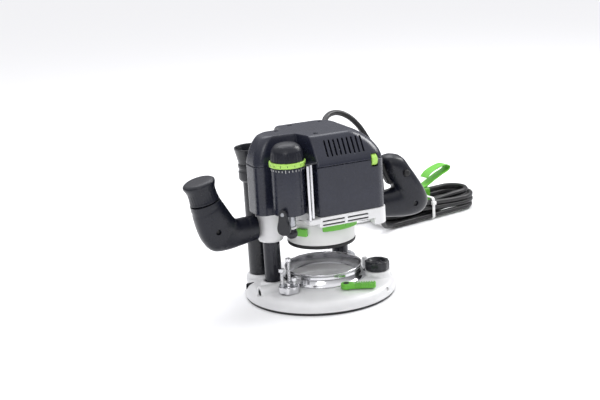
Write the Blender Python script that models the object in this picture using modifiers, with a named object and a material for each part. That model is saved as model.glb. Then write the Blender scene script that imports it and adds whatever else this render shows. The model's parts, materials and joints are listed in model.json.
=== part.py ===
"""Plunge router: a motor carriage that slides on two columns over a round cast base.

Metres, +Z up. The machine stands on its sole at z = 0, with its handles along X and its
front towards -Y. Shapes are worked out from the spindle's axis; the spindle stands
SPINDLE_X to the right of the origin, so that the origin is under the middle of the machine.
"""

import math

import bmesh
import bpy
from mathutils import Matrix, Vector

# ---- driving dimensions ---------------------------------------------------------------
SPINDLE_X = 0.0116        # spindle axis from the origin, along X
GAP = 0.0003              # left between touching pieces

BASE_R = 0.090            # round base plate
BASE_OFF = -0.005         # base centre from the spindle, along X
SOLE_T = 0.0025
DECK_Z = 0.018
RING_SEAT = 0.0175        # recess in the deck for the chip ring
OPENING_R = 0.042         # opening that the shroud plunges into
CUTTER_R = 0.032          # opening in the sole

LEFT_COL = (-0.0615, 0.007)
RIGHT_COL = (0.0437, 0.0437)
COLUMN_R = 0.010
COLUMN_TOP = 0.117
BOSS_TOP = 0.022
DUCT = (-0.0625, 0.0435)
DUCT_R = 0.014
DUCT_TOP = 0.136

SLEEVE_BOTTOM = 0.071
FLANGE_Z = (0.096, 0.1075)
SEAM_Z = 0.165
TOP_Z = 0.1985
WALL = 0.0028
FRONT_Y = -0.061
BACK_Y = 0.058
RIGHT_X = 0.0588
TOWER_X = -0.084
TOWER_FRONT = -0.019
TOWER_BACK = 0.0208
RECESS_X = -0.027
RECESS_IN_X = -0.0335

SHROUD_R = 0.040
SHROUD_BOTTOM = 0.062
STOP = (-0.0545, -0.040)  # depth stop axis
STOP_R = 0.019
CLAMP_WAY = (-0.696, -0.718, 0.0)  # the way the depth clamp faces
TURRET = (-0.0590, -0.0325)
KNOB = (0.0555, -0.0325)
LEVER = (0.001, -0.0600)
DIAL = (0.0440, FRONT_Y + 0.0048, 0.1640)
DIAL_SLOT = (0.0085, 0.030, 0.0150)
LEVER_LOW = 0.0184
ROD_Z = 0.0125
FRONT_ROD = (-0.0140, 0.0165)  # y and z of the front fence rod
CHANNEL_TURN = -0.65      # dust channel from the duct to the opening, about Z
SIDE_VENTS = (0.120, 0.128, 0.136)
TOP_VENTS = 9
VENT_PITCH = 0.0056
VENT_TILT = math.radians(-27)

# Grips: inner x and z, outer x and z, half depth along Y, and middle y, at each station
LEFT_GRIP = (
    (-0.0800, 0.1040, -0.0800, 0.0760, 0.0125, 0.006), (-0.0940, 0.1045, -0.0970, 0.0735, 0.0125, 0.004),
    (-0.1040, 0.1050, -0.1200, 0.0710, 0.0140, 0.002), (-0.1085, 0.1085, -0.1375, 0.0735, 0.0155, 0.0),
    (-0.1125, 0.1145, -0.1480, 0.0860, 0.0165, 0.0), (-0.1180, 0.1240, -0.1540, 0.1040, 0.0175, 0.0),
    (-0.1245, 0.1350, -0.1580, 0.1267, 0.0172, 0.0))
RIGHT_GRIP = (
    (0.0602, 0.1080, 0.0602, 0.0790, 0.0130, 0.0), (0.0800, 0.1080, 0.0860, 0.0755, 0.0125, 0.0),
    (0.0965, 0.1100, 0.1150, 0.0725, 0.0140, 0.0), (0.0965, 0.1145, 0.1340, 0.0755, 0.0155, 0.0),
    (0.0925, 0.1195, 0.1425, 0.0870, 0.0165, 0.0), (0.0885, 0.1265, 0.1390, 0.1020, 0.0172, 0.0),
    (0.0855, 0.1345, 0.1285, 0.1200, 0.0175, 0.0), (0.0835, 0.1440, 0.1185, 0.1350, 0.0165, 0.0),
    (0.0860, 0.1500, 0.1120, 0.1450, 0.0130, 0.0), (0.0920, 0.1525, 0.1060, 0.1500, 0.0070, 0.0))
CAP_AT = (-0.1413, 0.0, 0.1314)
CAP_WAY = (-0.240, 0.0, 0.970)
TRIGGER_AT = (0.0900, 0.0, 0.1300)
TRIGGER_WAY = (-0.46, 0.0, 0.89)
LOCK_AT = (0.1080, -0.0140, 0.1300)

CORD_R = 0.0035
GLAND_AT = (0.0290, 0.0460, 0.1770)
GLAND_WAY = (0.50, 0.80, 0.33)
GLAND_LENGTH = 0.028
HANK_AT = (0.2555, 0.2135)
HANK_TURN = math.radians(10.4)
HANK_RUN = 0.112          # straight length of the cord's folds
HANK_R = (0.0210, 0.0280)  # centre lines of the inner and outer fold
HANK_LOW = 0.0020
HANK_HIGH = HANK_LOW + 0.0280
CORD_ROUTE = ((0.0430, 0.0684, 0.1862), (0.0505, 0.0790, 0.1895), (0.0610, 0.0875, 0.1920),
              (0.0740, 0.0920, 0.1910), (0.0875, 0.0930, 0.1845), (0.0995, 0.0925, 0.1730),
              (0.1095, 0.0920, 0.1580), (0.1200, 0.0930, 0.1380), (0.1295, 0.0975, 0.1120),
              (0.1380, 0.1080, 0.0820), (0.1460, 0.1245, 0.0530), (0.1550, 0.1430, 0.0280),
              (0.1675, 0.1595, 0.0115), (0.1848, 0.1721, 0.0056))
CORD_TAIL = ((0.1747, 0.2271, 0.0056), (0.1600, 0.2260, 0.0065), (0.1450, 0.2275, 0.0095),
             (0.1312, 0.2314, 0.0126))
STRAP_AT = 0.0210         # strap from the hank's middle, along it
STRAP_WIDE = 0.0160
STRAP_CURL = ((0.0140, 0.0314), (0.0260, 0.0345), (0.0400, 0.0405), (0.0540, 0.0460), (0.0660, 0.0500),
              (0.0700, 0.0550), (0.0620, 0.0590), (0.0480, 0.0570), (0.0340, 0.0520), (0.0260, 0.0455))
PLUG_AT = (0.1300, 0.2318, 0.0131)
PLUG_WAY = (-0.960, 0.280, 0.0)

PART = "plunge_router"


# ---- scene and materials --------------------------------------------------------------
def start():
    """Empty scene, with a collection for the parts and one for the cutters."""
    for obj in list(bpy.data.objects):
        bpy.data.objects.remove(obj, do_unlink=True)
    made = []
    for name in (PART, PART + "_cutters"):
        group = bpy.data.collections.new(name)
        bpy.context.scene.collection.children.link(group)
        made.append(group)
    return made


PARTS, CUTTERS = start()


def material(name, rgb, roughness, metallic=0.0):
    """Principled material of one colour."""
    mat = bpy.data.materials.new(name)
    mat.use_nodes = True
    shader = mat.node_tree.nodes["Principled BSDF"]
    shader.inputs["Base Color"].default_value = (*rgb, 1.0)
    shader.inputs["Roughness"].default_value = roughness
    shader.inputs["Metallic"].default_value = metallic
    return mat


BLACK = material("moulded_plastic", (0.020, 0.021, 0.028), 0.42)
GRIP = material("soft_grip", (0.013, 0.014, 0.018), 0.60)
CAST = material("cast_aluminium", (0.78, 0.78, 0.79), 0.38, 0.6)
SILVER = material("bright_steel", (0.80, 0.80, 0.82), 0.14, 1.0)
STEEL = material("ground_steel", (0.30, 0.31, 0.33), 0.30, 1.0)
DARK_COAT = material("dark_coating", (0.03, 0.03, 0.04), 0.35, 0.3)
LIME = material("lime_plastic", (0.20, 0.62, 0.05), 0.40)
RUBBER = material("black_rubber", (0.012, 0.012, 0.013), 0.72)
SOLE_MAT = material("sole_laminate", (0.03, 0.03, 0.03), 0.35)
COPPER = material("copper_winding", (0.65, 0.28, 0.10), 0.35, 0.9)
IRON = material("laminated_iron", (0.22, 0.22, 0.23), 0.50, 0.8)
BRASS = material("brass", (0.72, 0.52, 0.20), 0.30, 1.0)
NYLON = material("white_nylon", (0.85, 0.85, 0.83), 0.45)
CARBON = material("carbon", (0.02, 0.02, 0.02), 0.80)


# ---- modelling helpers ----------------------------------------------------------------
def place(obj, mat, where, direction=(0, 0, 1)):
    """Put an object at a point given from the spindle axis, its +Z along direction."""
    turn = Vector((0, 0, 1)).rotation_difference(Vector(direction))
    obj.location = (where[0] + SPINDLE_X, where[1], where[2])
    obj.rotation_euler = turn.to_euler()
    obj.data.materials.append(mat)
    PARTS.objects.link(obj)
    return obj


def smooth(obj, angle=35):
    """Shade smooth, with hard edges past an angle in degrees."""
    obj.data.shade_smooth()
    obj.data.set_sharp_from_angle(angle=math.radians(angle))
    return obj


def from_bmesh(name, mesh_data):
    """New object from a bmesh with its faces turned outwards."""
    bmesh.ops.recalc_face_normals(mesh_data, faces=mesh_data.faces)
    mesh = bpy.data.meshes.new(name)
    mesh_data.to_mesh(mesh)
    mesh_data.free()
    return bpy.data.objects.new(name, mesh)


def turned(name, mat, profile, where, direction=(0, 0, 1), sides=32, ring=False):
    """Turned piece: (radius, height) points down its outer side; a ring comes back up inside."""
    mesh = bpy.data.meshes.new(name)
    count = len(profile)
    edges = [(i, i + 1) for i in range(count - 1)]
    if ring:
        edges.append((count - 1, 0))
    mesh.from_pydata([(radius, 0, height) for radius, height in profile], edges, [])
    obj = place(bpy.data.objects.new(name, mesh), mat, where, direction)
    screw = obj.modifiers.new("turn", "SCREW")
    screw.steps = sides
    screw.render_steps = sides
    screw.use_merge_vertices = True
    screw.merge_threshold = 0.00001
    screw.use_smooth_shade = True
    return obj


def tube_ring(outer, inner, low, high, edge=0.0005):
    """Profile of a plain ring with small chamfers on its outer corners."""
    return [(outer - edge, high), (outer, high - edge), (outer, low + edge),
            (outer - edge, low), (inner, low), (inner, high)]


def rod_profile(radius, low, high, edge=0.0005):
    """Profile of a plain round bar with chamfered ends."""
    return [(0, high), (radius - edge, high), (radius, high - edge),
            (radius, low + edge), (radius - edge, low), (0, low)]


def block(name, mat, size, where, edge=0.0, direction=(0, 0, 1)):
    """Box of a size, centred on a point, with rounded edges."""
    data = bmesh.new()
    bmesh.ops.create_cube(data, size=1.0)
    bmesh.ops.scale(data, vec=size, verts=data.verts)
    obj = place(from_bmesh(name, data), mat, where, direction)
    if edge:
        bevel(obj, edge)
    return obj


def bevel(obj, width, segments=2, angle=40):
    """Round the edges that are sharper than an angle."""
    mod = obj.modifiers.new("edges", "BEVEL")
    mod.width = width
    mod.segments = segments
    mod.limit_method = "ANGLE"
    mod.angle_limit = math.radians(angle)
    return obj


def cylinder(name, mat, radius, low, high, xy, sides=32):
    """Plain upright cylinder between two heights."""
    data = bmesh.new()
    bmesh.ops.create_cone(data, cap_ends=True, segments=sides, radius1=radius,
                          radius2=radius, depth=high - low)
    return place(from_bmesh(name, data), mat, (*xy, (low + high) / 2))


def combine(target, other, operation):
    """Boolean of another object on a target; the other becomes a hidden guide."""
    for group in list(other.users_collection):
        group.objects.unlink(other)
    CUTTERS.objects.link(other)
    other.hide_render = True
    other.display_type = "WIRE"
    mod = target.modifiers.new(operation.lower() + "_" + other.name, "BOOLEAN")
    mod.operation = operation
    mod.object = other
    return target


def cut(target, other):
    """Take another shape out of a piece."""
    return combine(target, other, "DIFFERENCE")


def join(target, other):
    """Join another shape onto a piece."""
    return combine(target, other, "UNION")


def arc_points(corners, steps=4):
    """Outline with an arc at each (x, y, radius) corner."""
    points = []
    count = len(corners)
    for i, (x, y, radius) in enumerate(corners):
        here = Vector((x, y))
        before = (Vector(corners[i - 1][:2]) - here).normalized()
        after = (Vector(corners[(i + 1) % count][:2]) - here).normalized()
        half = before.angle(after) / 2
        centre = here + (before + after).normalized() * (radius / math.sin(half))
        first = here + before * (radius / math.tan(half)) - centre
        last = here + after * (radius / math.tan(half)) - centre
        begin = math.atan2(first.y, first.x)
        sweep = math.atan2(last.y, last.x) - begin
        sweep = (sweep + math.pi) % (2 * math.pi) - math.pi
        for k in range(steps + 1):
            angle = begin + sweep * k / steps
            points.append((centre.x + radius * math.cos(angle), centre.y + radius * math.sin(angle)))
    return points


def plate(name, mat, outline, low, high, origin=(0, 0, 0), direction=(0, 0, 1), holes=()):
    """Flat piece: a 2D outline, given from its origin, extruded between two heights."""
    curve = bpy.data.curves.new(name, "CURVE")
    curve.dimensions = "2D"
    curve.fill_mode = "BOTH"
    curve.extrude = (high - low) / 2
    for loop in (outline, *holes):
        spline = curve.splines.new("POLY")
        spline.points.add(len(loop) - 1)
        for point, (x, y) in zip(spline.points, loop):
            point.co = (x, y, 0, 1)
        spline.use_cyclic_u = True
    source = bpy.data.objects.new(name + "_outline", curve)
    bpy.context.scene.collection.objects.link(source)
    obj = solid_from_curve(name, source)
    obj.data.transform(Matrix.Translation((0, 0, (low + high) / 2)))
    return place(obj, mat, origin, direction)


def solid_from_curve(name, source):
    """Closed mesh object from a curve object, which is then removed."""
    graph = bpy.context.evaluated_depsgraph_get()
    mesh = bpy.data.meshes.new_from_object(source.evaluated_get(graph))
    data = bmesh.new()
    data.from_mesh(mesh)
    bmesh.ops.remove_doubles(data, verts=data.verts, dist=0.000001)
    bmesh.ops.recalc_face_normals(data, faces=data.faces)
    data.to_mesh(mesh)
    data.free()
    mesh.materials.clear()
    bpy.data.objects.remove(source, do_unlink=True)
    return bpy.data.objects.new(name, mesh)


def skin(data, rings):
    """Quads between rings of equal point count; gives back the rows of vertices."""
    rows = [[data.verts.new(point) for point in ring] for ring in rings]
    count = len(rings[0])
    for low, high in zip(rows, rows[1:]):
        for i in range(count):
            j = (i + 1) % count
            data.faces.new((low[i], low[j], high[j], high[i]))
    return rows


def loft(name, mat, rings):
    """Skin over rings of equal point count, capped at its ends."""
    data = bmesh.new()
    rows = skin(data, rings)
    data.faces.new(rows[-1])
    data.faces.new(list(reversed(rows[0])))
    return smooth(place(from_bmesh(name, data), mat, (0, 0, 0)), 30)


def tube(name, mat, points, radius, resolution=2):
    """Round bar along points, with filled ends, at the spindle's frame."""
    curve = bpy.data.curves.new(name, "CURVE")
    curve.dimensions = "3D"
    curve.bevel_depth = radius
    curve.bevel_resolution = resolution
    curve.use_fill_caps = True
    spline = curve.splines.new("POLY")
    spline.points.add(len(points) - 1)
    for point, where in zip(spline.points, points):
        point.co = (*where, 1)
    return place(bpy.data.objects.new(name, curve), mat, (0, 0, 0))


def catmull(stations, per_span):
    """Smooth run of values through stations, each a tuple of numbers."""
    rows = [Vector(s) for s in stations]
    rows = [2 * rows[0] - rows[1], *rows, 2 * rows[-1] - rows[-2]]
    out = []
    for i in range(1, len(rows) - 2):
        a, b, c, d = rows[i - 1:i + 3]
        for k in range(per_span):
            t = k / per_span
            out.append(0.5 * (2 * b + (c - a) * t + (2 * a - 5 * b + 4 * c - d) * t * t
                              + (3 * b - a - 3 * c + d) * t ** 3))
    out.append(rows[-2])
    return out


def grip_ring(station, sides, power=0.8):
    """Rounded section between an inner and an outer point in the XZ plane."""
    in_x, in_z, out_x, out_z, depth, mid_y = station
    centre = Vector(((in_x + out_x) / 2, mid_y, (in_z + out_z) / 2))
    across = Vector(((in_x - out_x) / 2, 0, (in_z - out_z) / 2))
    ring = []
    for i in range(sides):
        angle = 2 * math.pi * (i + 0.5) / sides
        c = math.copysign(abs(math.cos(angle)) ** power, math.cos(angle))
        s = math.copysign(abs(math.sin(angle)) ** power, math.sin(angle))
        ring.append(centre + across * c + Vector((0, depth * s, 0)))
    return ring


def housing_outline(front=0.0, right=0.0, back=0.0, left=0.0, extra=0.0):
    """Plan of the motor housing, its sides drawn in by the given amounts."""
    low_y = FRONT_Y + front
    high_y = BACK_Y - back
    high_x = RIGHT_X - right
    low_x = TOWER_X + left
    tower = left * 0.4
    return arc_points([
        (RECESS_X, low_y, 0.0035), (high_x, low_y, 0.013 + extra), (high_x, high_y, 0.016 + extra),
        (-0.036, high_y, 0.006), (-0.036, TOWER_BACK - tower, 0.003), (low_x, TOWER_BACK - tower, 0.012),
        (low_x, TOWER_FRONT + tower, 0.011), (RECESS_IN_X, TOWER_FRONT, 0.003)], 3)


def at_height(outline, height):
    """Flat outline as a ring of points at a height."""
    return [(x, y, height) for x, y in outline]


# ---- base -----------------------------------------------------------------------------
def running_sole():
    """Laminate sole, with the opening for the cutter on the spindle's axis."""
    rim = [(BASE_OFF + 0.0885 * math.cos(a), 0.0885 * math.sin(a))
           for a in (2 * math.pi * i / 64 for i in range(64))]
    hole = [(CUTTER_R * math.cos(a), CUTTER_R * math.sin(a))
            for a in (2 * math.pi * i / 32 for i in range(32))]
    plate("running_sole", SOLE_MAT, rim, 0, SOLE_T, holes=(hole,))


def base_casting():
    """Round casting with bosses for the columns, duct, rods and clamp, and stepped opening."""
    low = SOLE_T + GAP
    profile = [(0, DECK_Z), (0.058, DECK_Z), (0.080, 0.0165), (0.0855, 0.0148), (0.0885, 0.011),
               (BASE_R, 0.005), (BASE_R, low), (0, low)]
    body = turned("base_casting", CAST, profile, (BASE_OFF, 0, 0), sides=52)
    for i, xy in enumerate((LEFT_COL, RIGHT_COL)):
        boss = [(0, BOSS_TOP), (0.0135, BOSS_TOP), (0.0155, BOSS_TOP - 0.002), (0.017, 0.012), (0, 0.012)]
        join(body, turned(f"column_boss_{i}", CAST, boss, (*xy, 0), sides=16))
    foot = [(0, BOSS_TOP), (0.0155, BOSS_TOP), (0.018, 0.019), (0.019, 0.012), (0, 0.012)]
    join(body, turned("duct_foot", CAST, foot, (*DUCT, 0), sides=16))
    pad = [(0, 0.0235), (0.0140, 0.0235), (0.0165, 0.012), (0, 0.012)]
    join(body, turned("clamp_pad", CAST, pad, (*KNOB, 0), sides=16))
    rod_boss = [(0, 0.037), (0.0066, 0.037), (0.0080, 0.034), (0.0080, 0.001), (0.0074, 0), (0, 0)]
    for side in (-1, 1):
        end = (BASE_OFF + side * 0.0835, *FRONT_ROD)
        join(body, turned(f"rod_boss_{side}", CAST, rod_boss, end, (-side, 0, 0), sides=14))
    join(body, cylinder("ring_post", CAST, 0.0030, 0.012, 0.0310, (0.0546, -0.0020), 12))
    cut(body, cylinder("opening", CAST, OPENING_R, 0.0125, 0.03, (0, 0), 40))
    cut(body, cylinder("ring_seat", CAST, 0.0503, RING_SEAT, 0.06, (0, 0), 48))
    cut(body, cylinder("opening_low", CAST, 0.034, 0, 0.02, (0, 0), 32))
    for i, xy in enumerate((LEFT_COL, RIGHT_COL)):
        cut(body, cylinder(f"column_socket_{i}", CAST, COLUMN_R + GAP, 0.0055, 0.03, xy, 24))
    cut(body, cylinder("duct_passage", CAST, 0.0115, 0.0075, 0.03, DUCT, 24))
    passage = block("duct_channel", CAST, (0.045, 0.014, 0.009), (-0.045, 0.030, 0.0115))
    passage.rotation_euler = (0, 0, CHANNEL_TURN)
    cut(body, passage)
    for side in (-1, 1):
        for y, z in (FRONT_ROD, (0.0260, ROD_Z)):
            bore = turned(f"rod_bore_{side}_{y}", CAST, [(0, 0.05), (0.0041, 0.05), (0.0041, 0), (0, 0)],
                          (side * 0.051 + BASE_OFF, y, z), (side, 0, 0), sides=12)
            cut(body, bore)
    cut(body, cylinder("clamp_thread", CAST, 0.0033, 0.008, 0.03, KNOB, 16))
    cut(body, cylinder("turret_clearance", CAST, 0.0134, RING_SEAT, 0.05, TURRET, 24))
    cut(body, cylinder("turret_seat", CAST, 0.0033, 0.008, 0.03, TURRET, 16))
    cut(body, cylinder("lever_seat", CAST, 0.0033, 0.008, 0.03, LEVER, 16))
    screw_hole = turned("rear_thread", CAST, [(0, 0.04), (0.0033, 0.04), (0.0033, 0), (0, 0)],
                        (0.0660, 0.0310, ROD_Z), (0, 1, 0), sides=12)
    cut(body, screw_hole)
    side_hole = turned("side_hole", CAST, [(0, 0.03), (0.0024, 0.03), (0.0024, 0), (0, 0)],
                       (0.0430, -0.0590, 0.0105), (0.5, -0.87, 0), sides=12)
    cut(body, side_hole)


def column(name, xy):
    """Hollow guide column, open at both ends."""
    low = 0.0058
    profile = [(COLUMN_R - 0.001, COLUMN_TOP), (COLUMN_R, COLUMN_TOP - 0.001), (COLUMN_R, low),
               (0.0075, low), (0.0075, COLUMN_TOP)]
    turned(name, DARK_COAT, profile, (*xy, 0), sides=24, ring=True)


def plunge_spring(name, xy):
    """Coil spring from inside a column up to the top cover."""
    turns = 9
    steps = 8
    low = 0.030
    high = 0.168
    points = []
    for i in range(turns * steps + 1):
        angle = 2 * math.pi * i / steps
        height = low + (high - low) * i / (turns * steps)
        points.append((xy[0] + 0.0055 * math.cos(angle), xy[1] + 0.0055 * math.sin(angle), height))
    tube(name, STEEL, points, 0.0009, 0)


def chip_ring():
    """Bright flared ring around the opening; the shroud plunges into it."""
    high = 0.033
    low = RING_SEAT + GAP
    profile = [(0.0455, high), (0.0460, 0.026), (0.0500, low + 0.0008), (0.0500, low), (0.0425, low),
               (0.0440, high)]
    turned("chip_ring", SILVER, profile, (0, 0, 0), sides=44, ring=True)


def template_lever():
    """Lever that frees the guide ring: round head, and a long ribbed tail."""
    x, y = LEVER
    head = arc_points([(-0.0065, -0.0055, 0.004), (0.006, -0.0060, 0.002), (0.0340, -0.0042, 0.0015),
                       (0.0340, 0.0042, 0.0015), (0.006, 0.0060, 0.002), (-0.0065, 0.0055, 0.004)], 2)
    tilt = math.radians(-25)
    lever = plate("template_lever", LIME, head, LEVER_LOW, LEVER_LOW + 0.0063, (x, y, 0))
    lever.rotation_euler = (0, 0, tilt)
    pivot = cylinder("lever_pivot", LIME, 0.0029, 0.0095, DECK_Z + 0.004, LEVER, 16)
    join(lever, pivot)
    for i in range(6):
        along = 0.011 + 0.0038 * i
        spot = (x + along * math.cos(tilt), y + along * math.sin(tilt), LEVER_LOW + 0.0068)
        groove = block(f"lever_groove_{i}", LIME, (0.0014, 0.02, 0.0022), spot)
        groove.rotation_euler = (0, 0, tilt)
        cut(lever, groove)


def stop_turret():
    """Turret with a lobed head, indexed around an upright pin."""
    low = RING_SEAT + GAP
    lobes = []
    for i in range(24):
        angle = 2 * math.pi * i / 24
        radius = 0.0118 + 0.0009 * math.cos(angle * 6)
        lobes.append((radius * math.cos(angle), radius * math.sin(angle)))
    turret = plate("stop_turret", SILVER, lobes, low, low + 0.008, (*TURRET, 0))
    join(turret, cylinder("turret_pin", SILVER, 0.0029, 0.0095, low + 0.004, TURRET, 16))
    join(turret, cylinder("turret_hub", SILVER, 0.0040, low + 0.004, low + 0.0105, TURRET, 16))
    for i in range(3):
        spot = stop_spot(i)
        cut(turret, cylinder(f"stop_thread_{i}", SILVER, 0.0024, low - 0.001, low + 0.012, spot, 12))


def stop_spot(index):
    """Centre of a stop screw on the turret; the first stands under the stop rod."""
    begin = math.atan2(STOP[1] - TURRET[1], STOP[0] - TURRET[0])
    angle = begin + 2 * math.pi * index / 3
    return (TURRET[0] + 0.0080 * math.cos(angle), TURRET[1] + 0.0080 * math.sin(angle))


def stop_screws():
    """Three adjustable stops of different heights, each with a nut under its head."""
    for i, top in enumerate((0.0365, 0.0560, 0.0475)):
        profile = [(0, top), (0.0028, top), (0.0034, top - 0.0006), (0.0034, top - 0.004),
                   (0.0021, top - 0.0045), (0.0021, 0.0285), (0.0036, 0.0283), (0.0036, 0.0266),
                   (0.0021, 0.0266), (0.0021, DECK_Z + 0.0012), (0, DECK_Z + 0.0012)]
        turned(f"stop_screw_{i + 1}", SILVER, profile, (*stop_spot(i), 0), sides=10)


def fence_clamp_knob():
    """Round-fronted clamp knob with a flat back and a screw into the base."""
    outline = []
    for i in range(24):
        angle = 2 * math.pi * i / 24
        radius = 0.0143 + 0.0006 * math.cos(8 * angle)
        outline.append((radius * math.cos(angle), radius * math.sin(angle)))
    knob = plate("fence_clamp_knob", BLACK, outline, 0.0239, 0.0355, (*KNOB, 0))
    bevel(knob, 0.0012, 2, 50)
    cut(knob, turned("knob_dish", BLACK, [(0, 0.05), (0.0105, 0.05), (0.0105, 0.0350), (0, 0.0310)],
                     (*KNOB, 0), sides=24))
    join(knob, cylinder("knob_screw", BLACK, 0.0030, 0.0100, 0.0280, KNOB, 12))


def rear_clamp_screw():
    """Thumb screw that clamps the rear fence rod, in the back right of the rim."""
    profile = [(0, 0.0380), (0.0060, 0.0380), (0.0068, 0.0372), (0.0068, 0.0300), (0.0060, 0.0293),
               (0.0030, 0.0293), (0.0030, 0.0005), (0, 0.0005)]
    turned("rear_clamp_screw", STEEL, profile, (0.0660, 0.0310, ROD_Z), (0, 1, 0), sides=16)


def dust_duct():
    """Upright extraction duct, its collar, and the swivelling hose nozzle on top."""
    low = BOSS_TOP + GAP
    duct = [(DUCT_R, DUCT_TOP), (DUCT_R, low), (0.0122, low), (0.0122, DUCT_TOP)]
    turned("dust_duct", BLACK, duct, (*DUCT, 0), ring=True, sides=24)
    collar = [(0.0185, 0.1570), (0.0185, 0.1390), (0.0165, 0.1363), (0.0125, 0.1363),
              (0.0125, 0.1450), (0.0150, 0.1480), (0.0150, 0.1570)]
    turned("duct_collar", BLACK, collar, (*DUCT, 0), ring=True, sides=24)
    nozzle = [(0.0222, 0.1765), (0.0182, 0.1590), (0.0180, 0.1575), (0.0152, 0.1575),
              (0.0160, 0.1600), (0.0203, 0.1765)]
    turned("dust_nozzle", BLACK, nozzle, (*DUCT, 0), ring=True, sides=24)


# ---- motor carriage -------------------------------------------------------------------
def motor_carrier():
    """Casting that carries the motor: flange, neck and the two plunge sleeves."""
    low, high = FLANGE_Z
    front = FRONT_Y - 0.0008
    outline = arc_points([(RECESS_X - 0.001, front, 0.003), (RIGHT_X + 0.0008, front, 0.013),
                          (RIGHT_X + 0.0008, BACK_Y, 0.016), (-0.036, BACK_Y, 0.006),
                          (-0.036, TOWER_BACK, 0.003), (-0.050, TOWER_BACK, 0.004), (-0.050, -0.010, 0.004),
                          (RECESS_IN_X, TOWER_FRONT, 0.003)], 3)
    body = plate("motor_carrier", CAST, outline, low, high)
    corner = arc_points([(0.040, front, 0.002), (RIGHT_X + 0.0008, front, 0.013),
                         (RIGHT_X + 0.0008, -0.022, 0.006), (0.046, -0.022, 0.004)])
    join(body, plate("corner_block", CAST, corner, 0.0880, low + 0.004))
    lug = arc_points([(-0.041, -0.062, 0.003), (-0.025, -0.0615, 0.002), (-0.025, -0.048, 0.002),
                      (-0.041, -0.050, 0.003)], 3)
    join(body, plate("rod_lug", CAST, lug, 0.1005, 0.1065))
    sleeve = [(0, high), (0.0172, high), (0.0172, high - 0.003), (0.0150, 0.098), (0.0150, 0.0735),
              (0.0140, SLEEVE_BOTTOM), (0, SLEEVE_BOTTOM)]
    for i, xy in enumerate((LEFT_COL, RIGHT_COL)):
        join(body, turned(f"sleeve_{i}", CAST, sleeve, (*xy, 0), sides=20))
    neck = [(0, low + 0.004), (0.0350, low + 0.004), (0.0350, 0.0885), (0.0330, 0.0870), (0, 0.0870)]
    join(body, turned("neck", CAST, neck, (0, 0, 0), sides=32))
    web = block("sleeve_web", CAST, (0.0205, 0.014, 0.022), (-0.05175, 0.006, 0.0925))
    join(body, web)
    for i, xy in enumerate((LEFT_COL, RIGHT_COL)):
        cut(body, cylinder(f"bush_seat_{i}", CAST, 0.0127, 0.05, 0.13, xy, 24))
    cut(body, cylinder("bearing_seat", CAST, 0.0133, 0.0950, 0.12, (0, 0), 24))
    cut(body, cylinder("nut_clearance", CAST, 0.0170, 0.08, 0.0910, (0, 0), 24))
    cut(body, cylinder("shaft_clearance", CAST, 0.0090, 0.08, 0.12, (0, 0), 16))
    for column_x in (-0.0105, 0.0185):
        for height in (0.0985, 0.1030):
            slot = block(f"slot_{column_x}_{height}", CAST, (0.0250, 0.006, 0.0016),
                         (column_x, FRONT_Y + 0.0005, height))
            cut(body, slot)


def bush(name, xy):
    """Plain bearing bush in a plunge sleeve."""
    turned(name, BRASS, tube_ring(0.0124, COLUMN_R + GAP, 0.0725, 0.1060), (*xy, 0), ring=True, sides=24)


def shroud():
    """Light collar below the flange, and the dark seal on its lower edge."""
    high = FLANGE_Z[0] - GAP
    collar = [(SHROUD_R, high), (SHROUD_R, SHROUD_BOTTOM + 0.0042), (0.0372, SHROUD_BOTTOM + 0.0042),
              (0.0372, high)]
    turned("shroud", NYLON, collar, (0, 0, 0), ring=True, sides=40)
    seal = [(0.0405, SHROUD_BOTTOM + 0.0039), (0.0400, SHROUD_BOTTOM),
            (0.0365, SHROUD_BOTTOM), (0.0365, SHROUD_BOTTOM + 0.0039)]
    turned("shroud_seal", RUBBER, seal, (0, 0, 0), ring=True, sides=40)


def sector(inner, outer, begin, end, steps):
    """Outline of part of a flat ring, between two angles in degrees."""
    angles = [math.radians(begin + (end - begin) * i / steps) for i in range(steps + 1)]
    out = [(outer * math.cos(a), outer * math.sin(a)) for a in angles]
    return out + [(inner * math.cos(a), inner * math.sin(a)) for a in reversed(angles)]


def green_catches():
    """Spindle lock rocker in front of the shroud, and the shroud's latch at its left."""
    plate("spindle_lock", LIME, sector(0.0430, 0.0480, -112, -52, 12), 0.0850, 0.0945)
    plate("shroud_latch", LIME, sector(0.0404, 0.0455, -154, -136, 4), 0.0785, 0.0875)


def motor_housing():
    """Lower half of the moulded motor housing: an open shell with a speed dial slot."""
    low = at_height(housing_outline(), FLANGE_Z[1] + GAP)
    high = at_height(housing_outline(), SEAM_Z - GAP)
    shell = open_shell("motor_housing", [low, high], False)
    cut(shell, block("dial_slot", BLACK, DIAL_SLOT, (DIAL[0], FRONT_Y + 0.008, DIAL[2])))
    for i, height in enumerate(SIDE_VENTS):
        cut(shell, block(f"side_vent_{i}", BLACK, (0.01, 0.050, 0.0025), (RIGHT_X, 0.006, height)))
    gland_hole = turned("gland_hole", BLACK, rod_profile(0.0078, -0.03, 0.03), GLAND_AT, GLAND_WAY,
                        sides=20)
    cut(shell, gland_hole)


def top_rings():
    """Rings of the top cover's skin, from the seam up over its shoulders."""
    steps = ((SEAM_Z, 0, 0, 0, 0), (SEAM_Z + 0.002, 0, 0, 0, 0), (0.174, 0.003, 0.0020, 0.003, 0.0015),
             (0.183, 0.008, 0.0075, 0.008, 0.0045), (0.191, 0.0125, 0.0160, 0.013, 0.0085),
             (0.1965, 0.0160, 0.0245, 0.018, 0.0130), (TOP_Z, 0.0200, 0.0290, 0.023, 0.0175))
    return [at_height(housing_outline(front, right, back, left, 0.002), height)
            for height, front, right, back, left in steps]


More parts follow.
